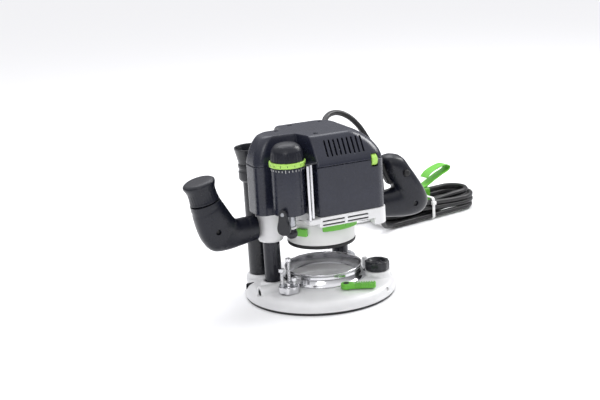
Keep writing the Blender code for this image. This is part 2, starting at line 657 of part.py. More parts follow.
def open_shell(name, rings, closed_top):
    """Moulded shell through rings, open at the bottom, with a wall inside its skin."""
    data = bmesh.new()
    rows = skin(data, rings)
    if closed_top:
        data.faces.new(rows[-1])
    data.normal_update()
    mesh = bpy.data.meshes.new(name)
    data.to_mesh(mesh)
    data.free()
    obj = place(bpy.data.objects.new(name, mesh), BLACK, (0, 0, 0))
    wall = obj.modifiers.new("wall", "SOLIDIFY")
    wall.thickness = WALL
    wall.offset = -1
    wall.use_even_offset = True
    return smooth(obj, 30)


def top_cover():
    """Crowned top of the housing, with nine vent slits on its front shoulder."""
    shell = open_shell("top_cover", top_rings(), True)
    for i in range(TOP_VENTS):
        x = -0.0120 + VENT_PITCH * i
        slit = block(f"vent_{i}", BLACK, (0.0022, 0.020, 0.0200), (x, FRONT_Y + 0.0085, 0.1835))
        slit.rotation_euler = (VENT_TILT, 0, 0)
        cut(shell, slit)
    cut(shell, block("dial_slot_top", BLACK, DIAL_SLOT, (DIAL[0], FRONT_Y + 0.008, DIAL[2])))
    gland_hole = turned("gland_hole_top", BLACK, rod_profile(0.0078, -0.03, 0.03), GLAND_AT, GLAND_WAY,
                        sides=20)
    cut(shell, gland_hole)


def speed_dial():
    """Numbered thumb wheel that shows through the front corner."""
    wheel = [(0, 0.0034), (0.0062, 0.0034), (0.0068, 0.0028), (0.0068, -0.0028), (0.0062, -0.0034),
             (0, -0.0034)]
    turned("speed_dial", LIME, wheel, DIAL, (1, 0, 0), sides=24)


# ---- motor ----------------------------------------------------------------------------
def motor():
    """Universal motor on the spindle's axis: stator, armature, commutator, fan, bearings."""
    shaft = [(0, 0.1880), (0.0038, 0.1880), (0.0038, 0.1795), (0.0052, 0.1790), (0.0052, 0.1100),
             (0.0057, 0.1095), (0.0057, 0.0860), (0.0075, 0.0850), (0.0075, 0.0700), (0, 0.0700)]
    turned("spindle_shaft", STEEL, shaft, (0, 0, 0), sides=14)
    turned("lower_bearing", SILVER, tube_ring(0.0130, 0.0060, 0.0955, 0.1065), (0, 0, 0), ring=True,
           sides=20)
    turned("upper_bearing", SILVER, tube_ring(0.0095, 0.0041, 0.1800, 0.1870), (0, 0, 0), ring=True,
           sides=18)
    turned("armature", COPPER, [(0.0150, 0.1600), (0.0205, 0.1560), (0.0215, 0.1540), (0.0215, 0.1240),
                                (0.0205, 0.1220), (0.0150, 0.1190), (0.0055, 0.1190), (0.0055, 0.1600)],
           (0, 0, 0), ring=True, sides=20)
    turned("commutator", BRASS, tube_ring(0.0120, 0.0055, 0.1625, 0.1750), (0, 0, 0), ring=True, sides=18)
    turned("motor_fan", NYLON, [(0.0310, 0.1170), (0.0310, 0.1155), (0.0120, 0.1110), (0.0060, 0.1110),
                                (0.0060, 0.1150), (0.0120, 0.1170)], (0, 0, 0), ring=True, sides=24)
    turned("stator", IRON, tube_ring(0.0330, 0.0224, 0.1220, 0.1560), (0, 0, 0), ring=True, sides=26)
    bracket = turned("bearing_bracket", BLACK, tube_ring(0.0130, 0.0098, 0.1790, 0.1880), (0, 0, 0),
                     ring=True, sides=18)
    for side in (-1, 1):
        arm = block(f"bracket_arm_{side}", BLACK, (0.0190, 0.010, 0.0050), (side * 0.0205, 0, 0.1830))
        join(bracket, arm)
        name = "left" if side < 0 else "right"
        block(f"{name}_brush", CARBON, (0.0110, 0.0070, 0.0060), (side * 0.0185, 0, 0.1690), 0.0003)


def collet():
    """Hexagonal collet nut on the spindle's end, with the split collet in its mouth."""
    hexagon = [(0.0125 * math.cos(math.radians(60 * i)), 0.0125 * math.sin(math.radians(60 * i)))
               for i in range(6)]
    nut = plate("collet_nut", STEEL, hexagon, 0.0660, 0.0835)
    cut(nut, cylinder("nut_thread", STEEL, 0.0078, 0.0697, 0.09, (0, 0), 24))
    cut(nut, cylinder("nut_mouth", STEEL, 0.0070, 0.05, 0.08, (0, 0), 20))
    sleeve = [(0.0066, 0.0694), (0.0066, 0.0640), (0.0055, 0.0630), (0.0040, 0.0630), (0.0040, 0.0694)]
    split = turned("collet", SILVER, sleeve, (0, 0, 0), ring=True, sides=20)
    for angle in (0, 90):
        slit = block(f"collet_slit_{angle}", SILVER, (0.02, 0.0009, 0.004), (0, 0, 0.0630))
        slit.rotation_euler = (0, 0, math.radians(angle + 45))
        cut(split, slit)


# ---- handles --------------------------------------------------------------------------
def left_handle():
    """Left arm and grip, up to the plunge lock."""
    rings = [grip_ring(s, 16) for s in catmull(LEFT_GRIP, 2)]
    body = loft("left_handle", GRIP, rings)
    seat = turned("cap_spigot_seat", GRIP, rod_profile(0.0083, -0.012, 0.01), CAP_AT, CAP_WAY, sides=16)
    cut(body, seat)


def plunge_lock_knob():
    """Mushroom cap on the left grip that turns to lock the plunge."""
    cap = [(0, 0.0270), (0.0120, 0.0266), (0.0172, 0.0255), (0.0190, 0.0230), (0.0184, 0.0200),
           (0.0166, 0.0150), (0.0164, 0.0080), (0.0172, 0.0010), (0.0165, 0.0006), (0.0080, 0.0006),
           (0.0080, -0.0090), (0, -0.0090)]
    turned("plunge_lock_knob", GRIP, cap, CAP_AT, CAP_WAY, sides=20)


def right_handle():
    """Right arm and pistol grip, with a slot for the trigger and its lock button."""
    rings = [grip_ring(s, 16) for s in catmull(RIGHT_GRIP, 2)]
    body = loft("right_handle", GRIP, rings)
    cut(body, block("trigger_slot", GRIP, (0.022, 0.0130, 0.0300), TRIGGER_AT, direction=TRIGGER_WAY))
    cut(body, turned("lock_bore", GRIP, rod_profile(0.0046, -0.012, 0.02), LOCK_AT, (0, -1, 0),
                     sides=12))


def trigger():
    """Trigger that squeezes into the right grip, and its lock-on button."""
    block("trigger", RUBBER, (0.0120, 0.0118, 0.0285), TRIGGER_AT, 0.0015, TRIGGER_WAY)
    button = [(0, 0.0060), (0.0030, 0.0057), (0.0042, 0.0045), (0.0042, -0.0040), (0, -0.0040)]
    turned("trigger_lock", LIME, button, LOCK_AT, (0, -1, 0), sides=12)


# ---- depth stop -----------------------------------------------------------------------
def depth_stop():
    """Upright depth stop: tube, scale ring, fine adjuster, stop rod and clamp lever."""
    where = (*STOP, 0)
    tube_profile = [(STOP_R, 0.1680), (STOP_R, 0.1145), (STOP_R - 0.001, 0.1130), (0.0062, 0.1130),
                    (0.0062, 0.1680)]
    turned("depth_stop_housing", BLACK, tube_profile, where, ring=True, sides=32)
    band = [(0.0204, 0.1743), (0.0208, 0.1735), (0.0206, 0.1690), (0.0200, 0.1683), (0.0120, 0.1683),
            (0.0120, 0.1743)]
    turned("depth_scale_ring", LIME, band, where, ring=True, sides=32)
    cap = [(0, 0.1950), (0.0070, 0.1946), (0.0120, 0.1930), (0.0155, 0.1900), (0.0178, 0.1855),
           (0.0188, 0.1805), (0.0192, 0.1746), (0.0117, 0.1746), (0.0117, 0.1700), (0, 0.1700)]
    turned("fine_adjust_knob", GRIP, cap, where, sides=24)
    rod = [(0, 0.1500), (0.0050, 0.1500), (0.0055, 0.1495), (0.0055, 0.0985), (0.0062, 0.0978),
           (0.0062, 0.0955), (0.0040, 0.0948), (0.0058, 0.0932), (0.0068, 0.0905), (0.0068, 0.0880),
           (0.0058, 0.0853), (0.0040, 0.0838), (0, 0.0832)]
    turned("depth_stop_rod", STEEL, rod, where, sides=16)
    drop = [(-0.0042, 0.0035), (0.0042, 0.0035), (0.0052, -0.006), (0.0078, -0.0155), (0.0068, -0.0215),
            (0.0015, -0.0245), (-0.0050, -0.0225), (-0.0072, -0.0165), (-0.0052, -0.006)]
    across, down = CLAMP_WAY[:2]
    hung = [(-x * down - y * across, x * across - y * down) for x, y in drop]
    reach = STOP_R + 0.0006
    pivot = (STOP[0] + reach * CLAMP_WAY[0], STOP[1] + reach * CLAMP_WAY[1], 0.1180)
    lever = plate("depth_clamp_lever", BLACK, hung, 0, 0.0060, pivot, CLAMP_WAY)
    bevel(lever, 0.0010, 2, 50)


def scale_rods():
    """Two bright rods beside the depth stop, held by a bracket at the top."""
    for name, x, y, radius in (("scale_rod", -0.0400, -0.0620, 0.0016),
                               ("guide_rod", -0.0340, -0.0570, 0.0019)):
        turned(name, SILVER, rod_profile(radius, 0.1068, 0.1700, 0.0003), (x, y, 0), sides=12)
    outline = arc_points([(-0.0450, -0.0655, 0.002), (-0.0260, -0.0615, 0.003), (-0.0300, -0.0500, 0.002),
                          (-0.0380, -0.0530, 0.001)], 3)
    plate("rod_bracket", BLACK, outline, 0.1704, 0.1722)


# ---- cord -----------------------------------------------------------------------------
def cord_gland():
    """Tapered, ribbed strain relief in the back of the top cover."""
    tip = GLAND_LENGTH
    profile = [(0, tip - GAP), (0.0046, tip - GAP), (0.0050, tip - 0.001)]
    for i in range(3):
        at = tip - 0.004 - 0.0040 * i
        wide = 0.0052 + 0.0004 * i
        profile += [(wide, at), (wide, at - 0.0022), (wide - 0.0009, at - 0.0026)]
    profile += [(0.0074, 0.0060), (0.0074, -0.0060), (0, -0.0060)]
    turned("cord_gland", RUBBER, profile, GLAND_AT, GLAND_WAY, sides=16)


def cord():
    """Mains cord: the loose run, the hank, the tail, and the plug on its end."""
    run = [tuple(p) for p in catmull(CORD_ROUTE, 2)]
    tube("cord_run", RUBBER, run, CORD_R)
    tube("cord_tail", RUBBER, [tuple(p) for p in catmull(CORD_TAIL, 2)], CORD_R)
    outer = HANK_R[1] + CORD_R
    inner = HANK_R[0] - CORD_R - 0.0005
    coil = plate("cord_hank", RUBBER, stadium(outer), HANK_LOW, HANK_HIGH, (*HANK_AT, 0),
                 holes=(stadium(inner),))
    coil.rotation_euler = (0, 0, HANK_TURN)
    lead_plug()
    cord_ties()


def stadium(radius, steps=10):
    """Outline with two straight sides and round ends, along X."""
    half = HANK_RUN / 2
    points = []
    for side in (1, -1):
        for i in range(steps + 1):
            angle = side * math.pi / 2 - math.pi * i / steps
            points.append((side * half + radius * math.cos(angle), radius * math.sin(angle)))
    return points


def lead_plug():
    """Two-pin plug: a tapered boot, a flat body and the pins."""
    way = Vector(PLUG_WAY).normalized()
    side = Vector((0, 0, 1)).cross(way)
    stations = ((0.0, 0.0046, 0.0046), (0.014, 0.0058, 0.0058), (0.026, 0.0085, 0.0085),
                (0.034, 0.0150, 0.0118), (0.040, 0.0178, 0.0126), (0.060, 0.0180, 0.0127),
                (0.063, 0.0170, 0.0118))
    rings = []
    for along, wide, tall in stations:
        centre = Vector(PLUG_AT) + way * along
        ring = []
        for i in range(16):
            angle = 2 * math.pi * i / 16
            c = math.copysign(abs(math.cos(angle)) ** 0.7, math.cos(angle))
            s = math.copysign(abs(math.sin(angle)) ** 0.7, math.sin(angle))
            ring.append(centre + side * (wide * c) + Vector((0, 0, tall * s)))
        rings.append(ring)
    body = loft("lead_plug", RUBBER, rings)
    for offset in (-0.0095, 0.0095):
        foot = Vector(PLUG_AT) + way * 0.060 + side * offset
        join(body, turned(f"plug_pin_{offset}", RUBBER, rod_profile(0.0024, 0, 0.0220, 0.0008), foot, way,
                          sides=12))


def band(name, mat, along, width, thickness, near):
    """Flat band round the hank from one side of it to its back, at a distance along it."""
    far = HANK_R[1] + CORD_R + GAP
    low = HANK_LOW - GAP
    high = HANK_HIGH + GAP

    def loop(extra):
        curve = 0.0003 + extra
        return arc_points([(near - extra, low - extra, curve), (far + extra, low - extra, curve),
                           (far + extra, high + extra, curve), (near - extra, high + extra, curve)], 2)

    obj = plate(name, mat, loop(thickness), -width / 2, width / 2, holes=(loop(0),))
    return lay_on_hank(obj, along, (0, 1, 0), (0, 0, 1), (1, 0, 0))


def lay_on_hank(obj, along, *ways):
    """Turn a piece to the hank, its own axes lying along the given ones of the hank."""
    frame = Matrix.Rotation(HANK_TURN, 3, "Z")
    obj.rotation_euler = (frame @ Matrix(ways).transposed()).to_euler()
    obj.location = frame @ Vector((along, 0, 0)) + Vector((HANK_AT[0] + SPINDLE_X, HANK_AT[1], 0))
    return obj


def ribbon(points, thickness):
    """Outline of a strip of even thickness along a run of flat points."""
    sides = ([], [])
    for i, point in enumerate(points):
        way = (points[min(i + 1, len(points) - 1)] - points[max(i - 1, 0)]).normalized()
        across = Vector((-way.y, way.x)) * (thickness / 2)
        sides[0].append(tuple(point + across))
        sides[1].append(tuple(point - across))
    return sides[0] + sides[1][::-1]


def cord_ties():
    """White cable tie, and the lime strap whose loose end curls up over the hank."""
    band("cable_tie", NYLON, -0.0050, 0.0045, 0.0012, -HANK_R[1] - CORD_R - GAP)
    inner = HANK_R[0] - CORD_R - 0.0005 - GAP
    strap = band("hook_strap", LIME, STRAP_AT, STRAP_WIDE, 0.0014, inner)
    outline = ribbon(catmull(STRAP_CURL, 2), 0.0018)
    curl = plate("strap_curl", LIME, outline, -inner - STRAP_WIDE, -inner)
    lay_on_hank(curl, 0, (1, 0, 0), (0, 0, 1), (0, -1, 0))
    join(strap, curl)


# ---- assembly -------------------------------------------------------------------------
def build():
    """Model every piece."""
    running_sole()
    base_casting()
    column("left_column", LEFT_COL)
    column("right_column", RIGHT_COL)
    plunge_spring("left_spring", LEFT_COL)
    plunge_spring("right_spring", RIGHT_COL)
    chip_ring()
    template_lever()
    stop_turret()
    stop_screws()
    fence_clamp_knob()
    rear_clamp_screw()
    dust_duct()
    motor_carrier()
    bush("left_bush", LEFT_COL)
    bush("right_bush", RIGHT_COL)
    shroud()
    green_catches()
    motor_housing()
    top_cover()
    speed_dial()
    motor()
    collet()
    left_handle()
    plunge_lock_knob()
    right_handle()
    trigger()
    depth_stop()
    scale_rods()
    cord_gland()
    cord()


build()
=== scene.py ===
"""Looks of the plunge router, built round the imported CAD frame.

Metres, in the CAD's frame. Centres and heights come from the frame's own boxes. Turned and
moulded pieces are made again here with finer shapes, and stand for their CAD nodes; the rest
keep their CAD shape and get a better material.
"""

import json
import math

import bmesh
import bpy
from mathutils import Matrix, Vector


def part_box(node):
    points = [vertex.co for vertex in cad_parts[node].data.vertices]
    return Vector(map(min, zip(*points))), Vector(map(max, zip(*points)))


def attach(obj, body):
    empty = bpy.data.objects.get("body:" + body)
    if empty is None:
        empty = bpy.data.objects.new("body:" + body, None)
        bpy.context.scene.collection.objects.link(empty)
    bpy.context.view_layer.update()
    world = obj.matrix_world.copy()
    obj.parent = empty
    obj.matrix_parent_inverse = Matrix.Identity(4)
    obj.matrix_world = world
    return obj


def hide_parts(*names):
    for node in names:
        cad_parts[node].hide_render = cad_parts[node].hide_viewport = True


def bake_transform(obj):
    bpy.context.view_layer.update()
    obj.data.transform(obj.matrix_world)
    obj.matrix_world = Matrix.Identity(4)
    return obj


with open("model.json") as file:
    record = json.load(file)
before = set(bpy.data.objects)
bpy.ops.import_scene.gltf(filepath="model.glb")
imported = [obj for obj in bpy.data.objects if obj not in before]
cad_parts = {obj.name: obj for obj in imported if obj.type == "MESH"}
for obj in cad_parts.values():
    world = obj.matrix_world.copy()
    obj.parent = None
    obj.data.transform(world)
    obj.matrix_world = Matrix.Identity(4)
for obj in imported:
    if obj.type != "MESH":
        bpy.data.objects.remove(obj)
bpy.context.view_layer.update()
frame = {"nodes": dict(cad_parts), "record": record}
SLOTS = {part["node"]: part["material_slot"] for part in frame["record"]["subparts"]}


def middle(node):
    """Centre of a CAD node's box."""
    low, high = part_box(node)
    return (low + high) / 2


def low(node):
    """Lowest height of a CAD node."""
    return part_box(node)[0].z


def high(node):
    """Highest height of a CAD node."""
    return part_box(node)[1].z


# ---- driving dimensions ---------------------------------------------------------------
SPINDLE = Vector((middle("shroud").x, middle("shroud").y, 0))
BASE = Vector((middle("running_sole").x, middle("running_sole").y, 0))
LEFT_COL = middle("left_column")
RIGHT_COL = middle("right_column")
DUCT = middle("dust_duct")
STOP = middle("depth_stop_housing")

# from here on every place is given from the spindle's axis
TURRET = (-0.059, -0.0325)
KNOB = (0.0555, -0.0325)
LEVER = (0.001, -0.06)
ROD_Z = 0.0125
FRONT_ROD = (-0.014, 0.0165)  # y and z of the fence rods' bores
REAR_ROD = (0.026, ROD_Z)
ROD_BORE_R = 0.0041
THUMB_AT = (0.066, 0.031, ROD_Z)
BASE_OFF = -0.005  # the base's middle, along x
BASE_R = 0.09
DECK_Z = 0.018
BOSS_TOP = 0.022
COLUMN_SEAT_R = 0.0103
SLEEVE_BORE_R = 0.0127
FLANGE_Z = (0.096, 0.1075)  # bottom and top of the light casting's flange
SEAM_Z = 0.165
TOP_Z = 0.1985
FRONT_Y = -0.061
BACK_Y = 0.058
RIGHT_X = 0.0588
TOWER_X = -0.084  # left side of the housing's tower over the left column
TOWER_FRONT = -0.019
TOWER_BACK = 0.0208
STEP_X = -0.036  # where the tower meets the housing's back
RECESS_X = -0.027  # left end of the front panel, and the corner behind the depth stop
RECESS_IN_X = -0.0335
WALL = 0.0028
VENT_PITCH = 0.0056
VENT_TILT = math.radians(-27)
DIAL_X = 0.044
DIAL_Z = 0.164
SPRING_Z = (0.03, 0.168)
SPRING_R = 0.0055
SPRING_TURNS = 14

CORD_R = 0.0035
GLAND_AT = (0.029, 0.046, 0.177)
GLAND_WAY = (0.5, 0.8, 0.33)
SCREW_WELLS = ((-0.046, 0.008), (-0.015, -0.033), (0.018, 0.026), (-0.02, 0.028))


def at(x, y, z=0.0):
    """Point given from the spindle's axis."""
    return SPINDLE + Vector((x, y, z))


def polar(radius, angle):
    """Flat point at a radius and an angle."""
    return radius * math.cos(angle), radius * math.sin(angle)


# ---- materials ------------------------------------------------------------------------
PATCH = 0.03  # size of the slow changes of tone
SMEAR = 0.007  # size of the changes of gloss


def noise(tree, vector, size, detail=2.0):
    """Noise whose features are about a size in metres."""
    node = tree.nodes.new("ShaderNodeTexNoise")
    node.inputs["Scale"].default_value = 1 / size
    node.inputs["Detail"].default_value = detail
    tree.links.new(vector, node.inputs["Vector"])
    return node.outputs["Fac"]


def remap(tree, value, low_in, high_in, low_out, high_out):
    """Map a range of a value to another range."""
    node = tree.nodes.new("ShaderNodeMapRange")
    limits = {"From Min": low_in, "From Max": high_in, "To Min": low_out, "To Max": high_out}
    for key, number in limits.items():
        node.inputs[key].default_value = number
    tree.links.new(value, node.inputs["Value"])
    return node.outputs["Result"]


def maths(tree, operation, *values):
    """Math node on sockets and plain numbers."""
    node = tree.nodes.new("ShaderNodeMath")
    node.operation = operation
    for socket, value in zip(node.inputs, values):
        if isinstance(value, float):
            socket.default_value = value
        else:
            tree.links.new(value, socket)
    return node.outputs["Value"]


def mix(tree, fac, first, second):
    """Mix two colours, each a tuple or a socket."""
    node = tree.nodes.new("ShaderNodeMix")
    node.data_type = "RGBA"
    tree.links.new(fac, node.inputs["Factor"])
    for socket, value in ((node.inputs["A"], first), (node.inputs["B"], second)):
        if isinstance(value, tuple):
            socket.default_value = (*value, 1)
        else:
            tree.links.new(value, socket)
    return node.outputs["Result"]


def edge_mask(tree, radius):
    """1 along convex and concave edges, 0 on open faces; and the rounded normal."""
    round_off = tree.nodes.new("ShaderNodeBevel")
    round_off.samples = 4
    round_off.inputs["Radius"].default_value = radius
    plain = tree.nodes.new("ShaderNodeNewGeometry")
    dot = tree.nodes.new("ShaderNodeVectorMath")
    dot.operation = "DOT_PRODUCT"
    tree.links.new(round_off.outputs["Normal"], dot.inputs[0])
    tree.links.new(plain.outputs["Normal"], dot.inputs[1])
    return remap(tree, dot.outputs["Value"], 0.995, 0.86, 0, 1), round_off.outputs["Normal"]


def surface(name, colour, rough, metallic=0.0, grain=0.0004, depth=0.00003, edge=0.0006, worn=None,
            wear=0.35, tone=0.14, gloss=0.07, stretch=(1, 1, 1), specular=0.5):
    """Material with grain in its bump, slow changes of tone and gloss, and rounded, worn edges."""
    mat = bpy.data.materials.new(name)
    mat.use_nodes = True
    tree = mat.node_tree
    shader = tree.nodes["Principled BSDF"]
    shader.inputs["Metallic"].default_value = metallic
    shader.inputs["Specular IOR Level"].default_value = specular
    where = tree.nodes.new("ShaderNodeTexCoord").outputs["Object"]
    stretched = tree.nodes.new("ShaderNodeMapping")
    stretched.inputs["Scale"].default_value = stretch
    tree.links.new(where, stretched.inputs["Vector"])
    fine = noise(tree, stretched.outputs["Vector"], grain, 1.0)
    broad = noise(tree, where, PATCH, 4.0)
    smear = noise(tree, where, SMEAR, 3.0)

    dark = tuple(c * (1 - tone) for c in colour)
    light = tuple(min(1, c * (1 + tone)) for c in colour)
    body = mix(tree, remap(tree, broad, 0.3, 0.7, 0, 1), dark, light)
    edges, rounded = edge_mask(tree, edge)
    if worn:
        patchy = maths(tree, "MULTIPLY", edges, remap(tree, smear, 0.35, 0.65, 0, wear))
        body = mix(tree, patchy, body, worn)
    tree.links.new(body, shader.inputs["Base Color"])
    smears = remap(tree, smear, 0.3, 0.7, -gloss, gloss)
    grains = remap(tree, fine, 0.3, 0.7, rough - gloss / 2, rough + gloss / 2)
    tree.links.new(maths(tree, "MULTIPLY_ADD", smears, 0.6, grains), shader.inputs["Roughness"])
    bump = tree.nodes.new("ShaderNodeBump")
    bump.inputs["Distance"].default_value = depth
    tree.links.new(fine, bump.inputs["Height"])
    tree.links.new(rounded, bump.inputs["Normal"])
    tree.links.new(bump.outputs["Normal"], shader.inputs["Normal"])
    return mat


NAVY = surface("moulded_navy", (0.015, 0.017, 0.03), 0.27, grain=0.0005, depth=0.00002,
               worn=(0.1, 0.105, 0.14), wear=0.5, edge=0.0008)
DARK = surface("moulded_dark", (0.007, 0.008, 0.012), 0.29, grain=0.0005, depth=0.00003,
               worn=(0.07, 0.07, 0.09), wear=0.45, edge=0.0007)
GRIP = surface("soft_grip", (0.007, 0.008, 0.014), 0.31, grain=0.0007, depth=0.00004,
               worn=(0.06, 0.06, 0.075), wear=0.4, edge=0.0008, specular=0.38)
CAST = surface("cast_aluminium", (0.74, 0.74, 0.745), 0.4, 0.1, grain=0.0006, depth=0.00005,
               worn=(0.88, 0.88, 0.88), wear=0.6, tone=0.05, edge=0.0007)
CHROME = surface("polished_steel", (0.66, 0.66, 0.68), 0.13, 1.0, grain=0.0003, depth=0.000006,
                 worn=(0.95, 0.95, 0.95), wear=0.5, tone=0.06, gloss=0.06, edge=0.0004, stretch=(1, 1, 9))
STEEL = surface("ground_steel", (0.34, 0.35, 0.37), 0.28, 1.0, grain=0.0003, depth=0.00001,
                worn=(0.75, 0.75, 0.76), wear=0.5, tone=0.08, edge=0.0004, stretch=(1, 1, 8))
COATED = surface("dark_coating", (0.012, 0.013, 0.02), 0.22, 0.2, grain=0.0008, depth=0.000004,
                 worn=(0.1, 0.1, 0.12), wear=0.4, edge=0.0005)
LIME = surface("lime_plastic", (0.13, 0.47, 0.04), 0.36, grain=0.0005, depth=0.00002,
               worn=(0.3, 0.68, 0.14), wear=0.5, tone=0.07, edge=0.0006)
LIME_PALE = surface("lime_scale", (0.4, 0.68, 0.12), 0.38, grain=0.0005, depth=0.00002,
                    worn=(0.55, 0.8, 0.25), wear=0.4, tone=0.06, edge=0.0005)
RUBBER = surface("black_rubber", (0.011, 0.011, 0.012), 0.5, grain=0.0005, depth=0.00005,
                 worn=(0.045, 0.045, 0.045), wear=0.3, specular=0.4)
CORD = surface("cord_jacket", (0.008, 0.008, 0.009), 0.42, grain=0.0006, depth=0.00003,
               worn=(0.03, 0.03, 0.03), specular=0.45)
SOLE = surface("sole_laminate", (0.014, 0.014, 0.016), 0.34, grain=0.0008, depth=0.00002,
               worn=(0.06, 0.06, 0.06))
STRAP = surface("ribbed_strap", (0.13, 0.48, 0.04), 0.45, grain=0.0011, depth=0.0003, gloss=0.1,
                worn=(0.35, 0.7, 0.2), wear=0.3, tone=0.08, edge=0.0004, stretch=(1.0, 0.1, 1.0))
NYLON = surface("white_nylon", (0.74, 0.74, 0.73), 0.36, grain=0.0006, depth=0.00002,
                worn=(0.8, 0.8, 0.8), tone=0.04)
BRASS = surface("turned_brass", (0.72, 0.52, 0.2), 0.28, 1.0, depth=0.00001, worn=(0.9, 0.72, 0.4))
COPPER = surface("copper_winding", (0.62, 0.26, 0.1), 0.34, 0.9, grain=0.0008, depth=0.0002)
IRON = surface("laminated_iron", (0.22, 0.22, 0.23), 0.48, 0.8, depth=0.00008, stretch=(0.05, 0.05, 3))
CARBON = surface("carbon", (0.02, 0.02, 0.02), 0.75, depth=0.00005)
# dark colour for print and screws, and also painted shade in the rod bores and behind the carrier's slots
INK_AND_SHADE = surface("dark_marking_and_shade", (0.01, 0.011, 0.013), 0.5, depth=0.00001)

CAD_MATERIALS = {
    "moulded_plastic": NAVY, "soft_grip": GRIP, "cast_aluminium": CAST, "bright_steel": CHROME,
    "ground_steel": STEEL, "dark_coating": COATED, "lime_plastic": LIME, "black_rubber": RUBBER,
    "sole_laminate": SOLE, "copper_winding": COPPER, "laminated_iron": IRON, "brass": BRASS,
    "white_nylon": NYLON, "carbon": CARBON,
}


# ---- mesh helpers ---------------------------------------------------------------------
def mesh_object(name, data, angle=32):
    """Object from a bmesh, faces outward, smooth except past an angle."""
    bmesh.ops.recalc_face_normals(data, faces=data.faces)
    mesh = bpy.data.meshes.new(name)
    data.to_mesh(mesh)
    data.free()
    obj = bpy.data.objects.new(name, mesh)
    bpy.context.scene.collection.objects.link(obj)
    shade(obj, angle)
    return obj


def shade(obj, angle=32):
    """Smooth shading, with hard edges past an angle in degrees."""
    obj.data.shade_smooth()
    obj.data.set_sharp_from_angle(angle=math.radians(angle))


def settle(obj, angle=32):
    """Apply an object's modifiers to its mesh."""
    graph = bpy.context.evaluated_depsgraph_get()
    made = bpy.data.meshes.new_from_object(obj.evaluated_get(graph))
    obj.modifiers.clear()
    obj.data = made
    shade(obj, angle)
    even = obj.modifiers.new("normals", "WEIGHTED_NORMAL")
    even.keep_sharp = True
    return obj


def aim(obj, where, way=(0, 0, 1), spin=0.0):
    """Move an object's origin to a point and its +Z along a direction."""
    turn = Vector((0, 0, 1)).rotation_difference(Vector(way)).to_matrix().to_4x4()
    obj.matrix_world = Matrix.Translation(where) @ turn @ Matrix.Rotation(spin, 4, "Z")
    return obj


def soften(profile, radius, closed):
    """Profile with its corners rounded by at most a radius."""
    points = [Vector(p) for p in profile]
    count = len(points)
    out = []
    for i, here in enumerate(points):
        if not closed and i in (0, count - 1):
            out.append(tuple(here))
            continue
        before, after = points[i - 1], points[(i + 1) % count]
        reach = min(radius, (before - here).length * 0.45, (after - here).length * 0.45)
        start = here + (before - here).normalized() * reach
        end = here + (after - here).normalized() * reach
        for t in (0, 1 / 3, 2 / 3, 1):
            out.append(tuple(start * (1 - t) ** 2 + here * 2 * t * (1 - t) + end * t * t))
    return out


def skin(data, rows, closed=False):
    """Quads between rows of vertices."""
    pairs = list(zip(rows, rows[1:])) + ([(rows[-1], rows[0])] if closed else [])
    for first, second in pairs:
        count = max(len(first), len(second))
        for i in range(count):
            j = (i + 1) % count
            corners = []
            for row, k in ((first, i), (first, j), (second, j), (second, i)):
                vert = row[k % len(row)]
                if vert not in corners:
                    corners.append(vert)
            if len(corners) > 2:
                data.faces.new(corners)


def loft(name, rings, angle=50):
    """Closed skin through rings of points."""
    data = bmesh.new()
    rows = [[data.verts.new(point) for point in ring] for ring in rings]
    skin(data, rows)
    data.faces.new(rows[0][::-1])
    data.faces.new(rows[-1])
    return mesh_object(name, data, angle)


def lathe(name, profile, where=SPINDLE, way=(0, 0, 1), sides=96, ring=False, edge=0.0006, lobes=None):
    """Turned piece from (radius, height) points, with flat ends that reach the axis unless it is a
    closed ring; lobes(angle, radius, height) may reshape it."""
    if not ring:
        profile = list(dict.fromkeys([(0, profile[0][1]), *profile, (0, profile[-1][1])]))
    outline = soften(profile, edge, ring) if edge else profile
    data = bmesh.new()
    rows = []
    for radius, height in outline:
        if radius < 1e-7:
            rows.append([data.verts.new((0, 0, height))])
            continue
        row = []
        for i in range(sides):
            angle = 2 * math.pi * i / sides
            wide = lobes(angle, radius, height) if lobes else radius
            row.append(data.verts.new((*polar(wide, angle), height)))
        rows.append(row)
    skin(data, rows, closed=ring)
    return aim(mesh_object(name, data), where, way)


def ribs(count, depth, least=0.0, span=(-1, 1)):
    """Reshaper for lathe: upright ribs past a radius and within a span of heights."""
    def reshape(angle, radius, height):
        if radius > least and span[0] < height < span[1]:
            return radius - depth * (0.5 + 0.5 * math.cos(count * angle))
        return radius
    return reshape


def slab(name, outline, bottom, top, where=SPINDLE, way=(0, 0, 1), edge=0.0006, spin=0.0):
    """Flat piece with rounded edges: an outline extruded between two heights."""
    data = bmesh.new()
    lower = [data.verts.new((x, y, bottom)) for x, y in outline]
    upper = [data.verts.new((x, y, top)) for x, y in outline]
    skin(data, [lower, upper])
    data.faces.new(upper)
    data.faces.new(lower[::-1])
    obj = aim(mesh_object(name, data), where, way, spin)
    return round_edges(obj, edge) if edge else obj


def round_edges(obj, width):
    """Bevel the sharp edges, and apply it."""
    mod = obj.modifiers.new("edges", "BEVEL")
    mod.width = width
    mod.segments = 3
    mod.limit_method = "ANGLE"
    mod.angle_limit = math.radians(35)
    return settle(obj, 40)


def block(name, size, where, edge=0.0006, way=(0, 0, 1), spin=0.0):
    """Box with rounded edges, centred on a point."""
    x, y, z = (s / 2 for s in size)
    return slab(name, [(-x, -y), (x, -y), (x, y), (-x, y)], -z, z, where, way, edge, spin)


def boolean(target, cutters, operation="DIFFERENCE"):
    """Cut other objects out of a target, or join them on, and remove them."""
    for other in cutters:
        mod = target.modifiers.new("bool", "BOOLEAN")
        mod.operation = operation
        mod.object = other
    settle(target)
    for other in cutters:
        bpy.data.objects.remove(other, do_unlink=True)
    return target


def merged(name, objects):
    """Several objects as one, without joining their surfaces."""
    data = bmesh.new()
    for obj in objects:
        mesh = obj.data.copy()
        mesh.transform(obj.matrix_world)
        data.from_mesh(mesh)
        bpy.data.meshes.remove(mesh)
        bpy.data.objects.remove(obj, do_unlink=True)
    return mesh_object(name, data)


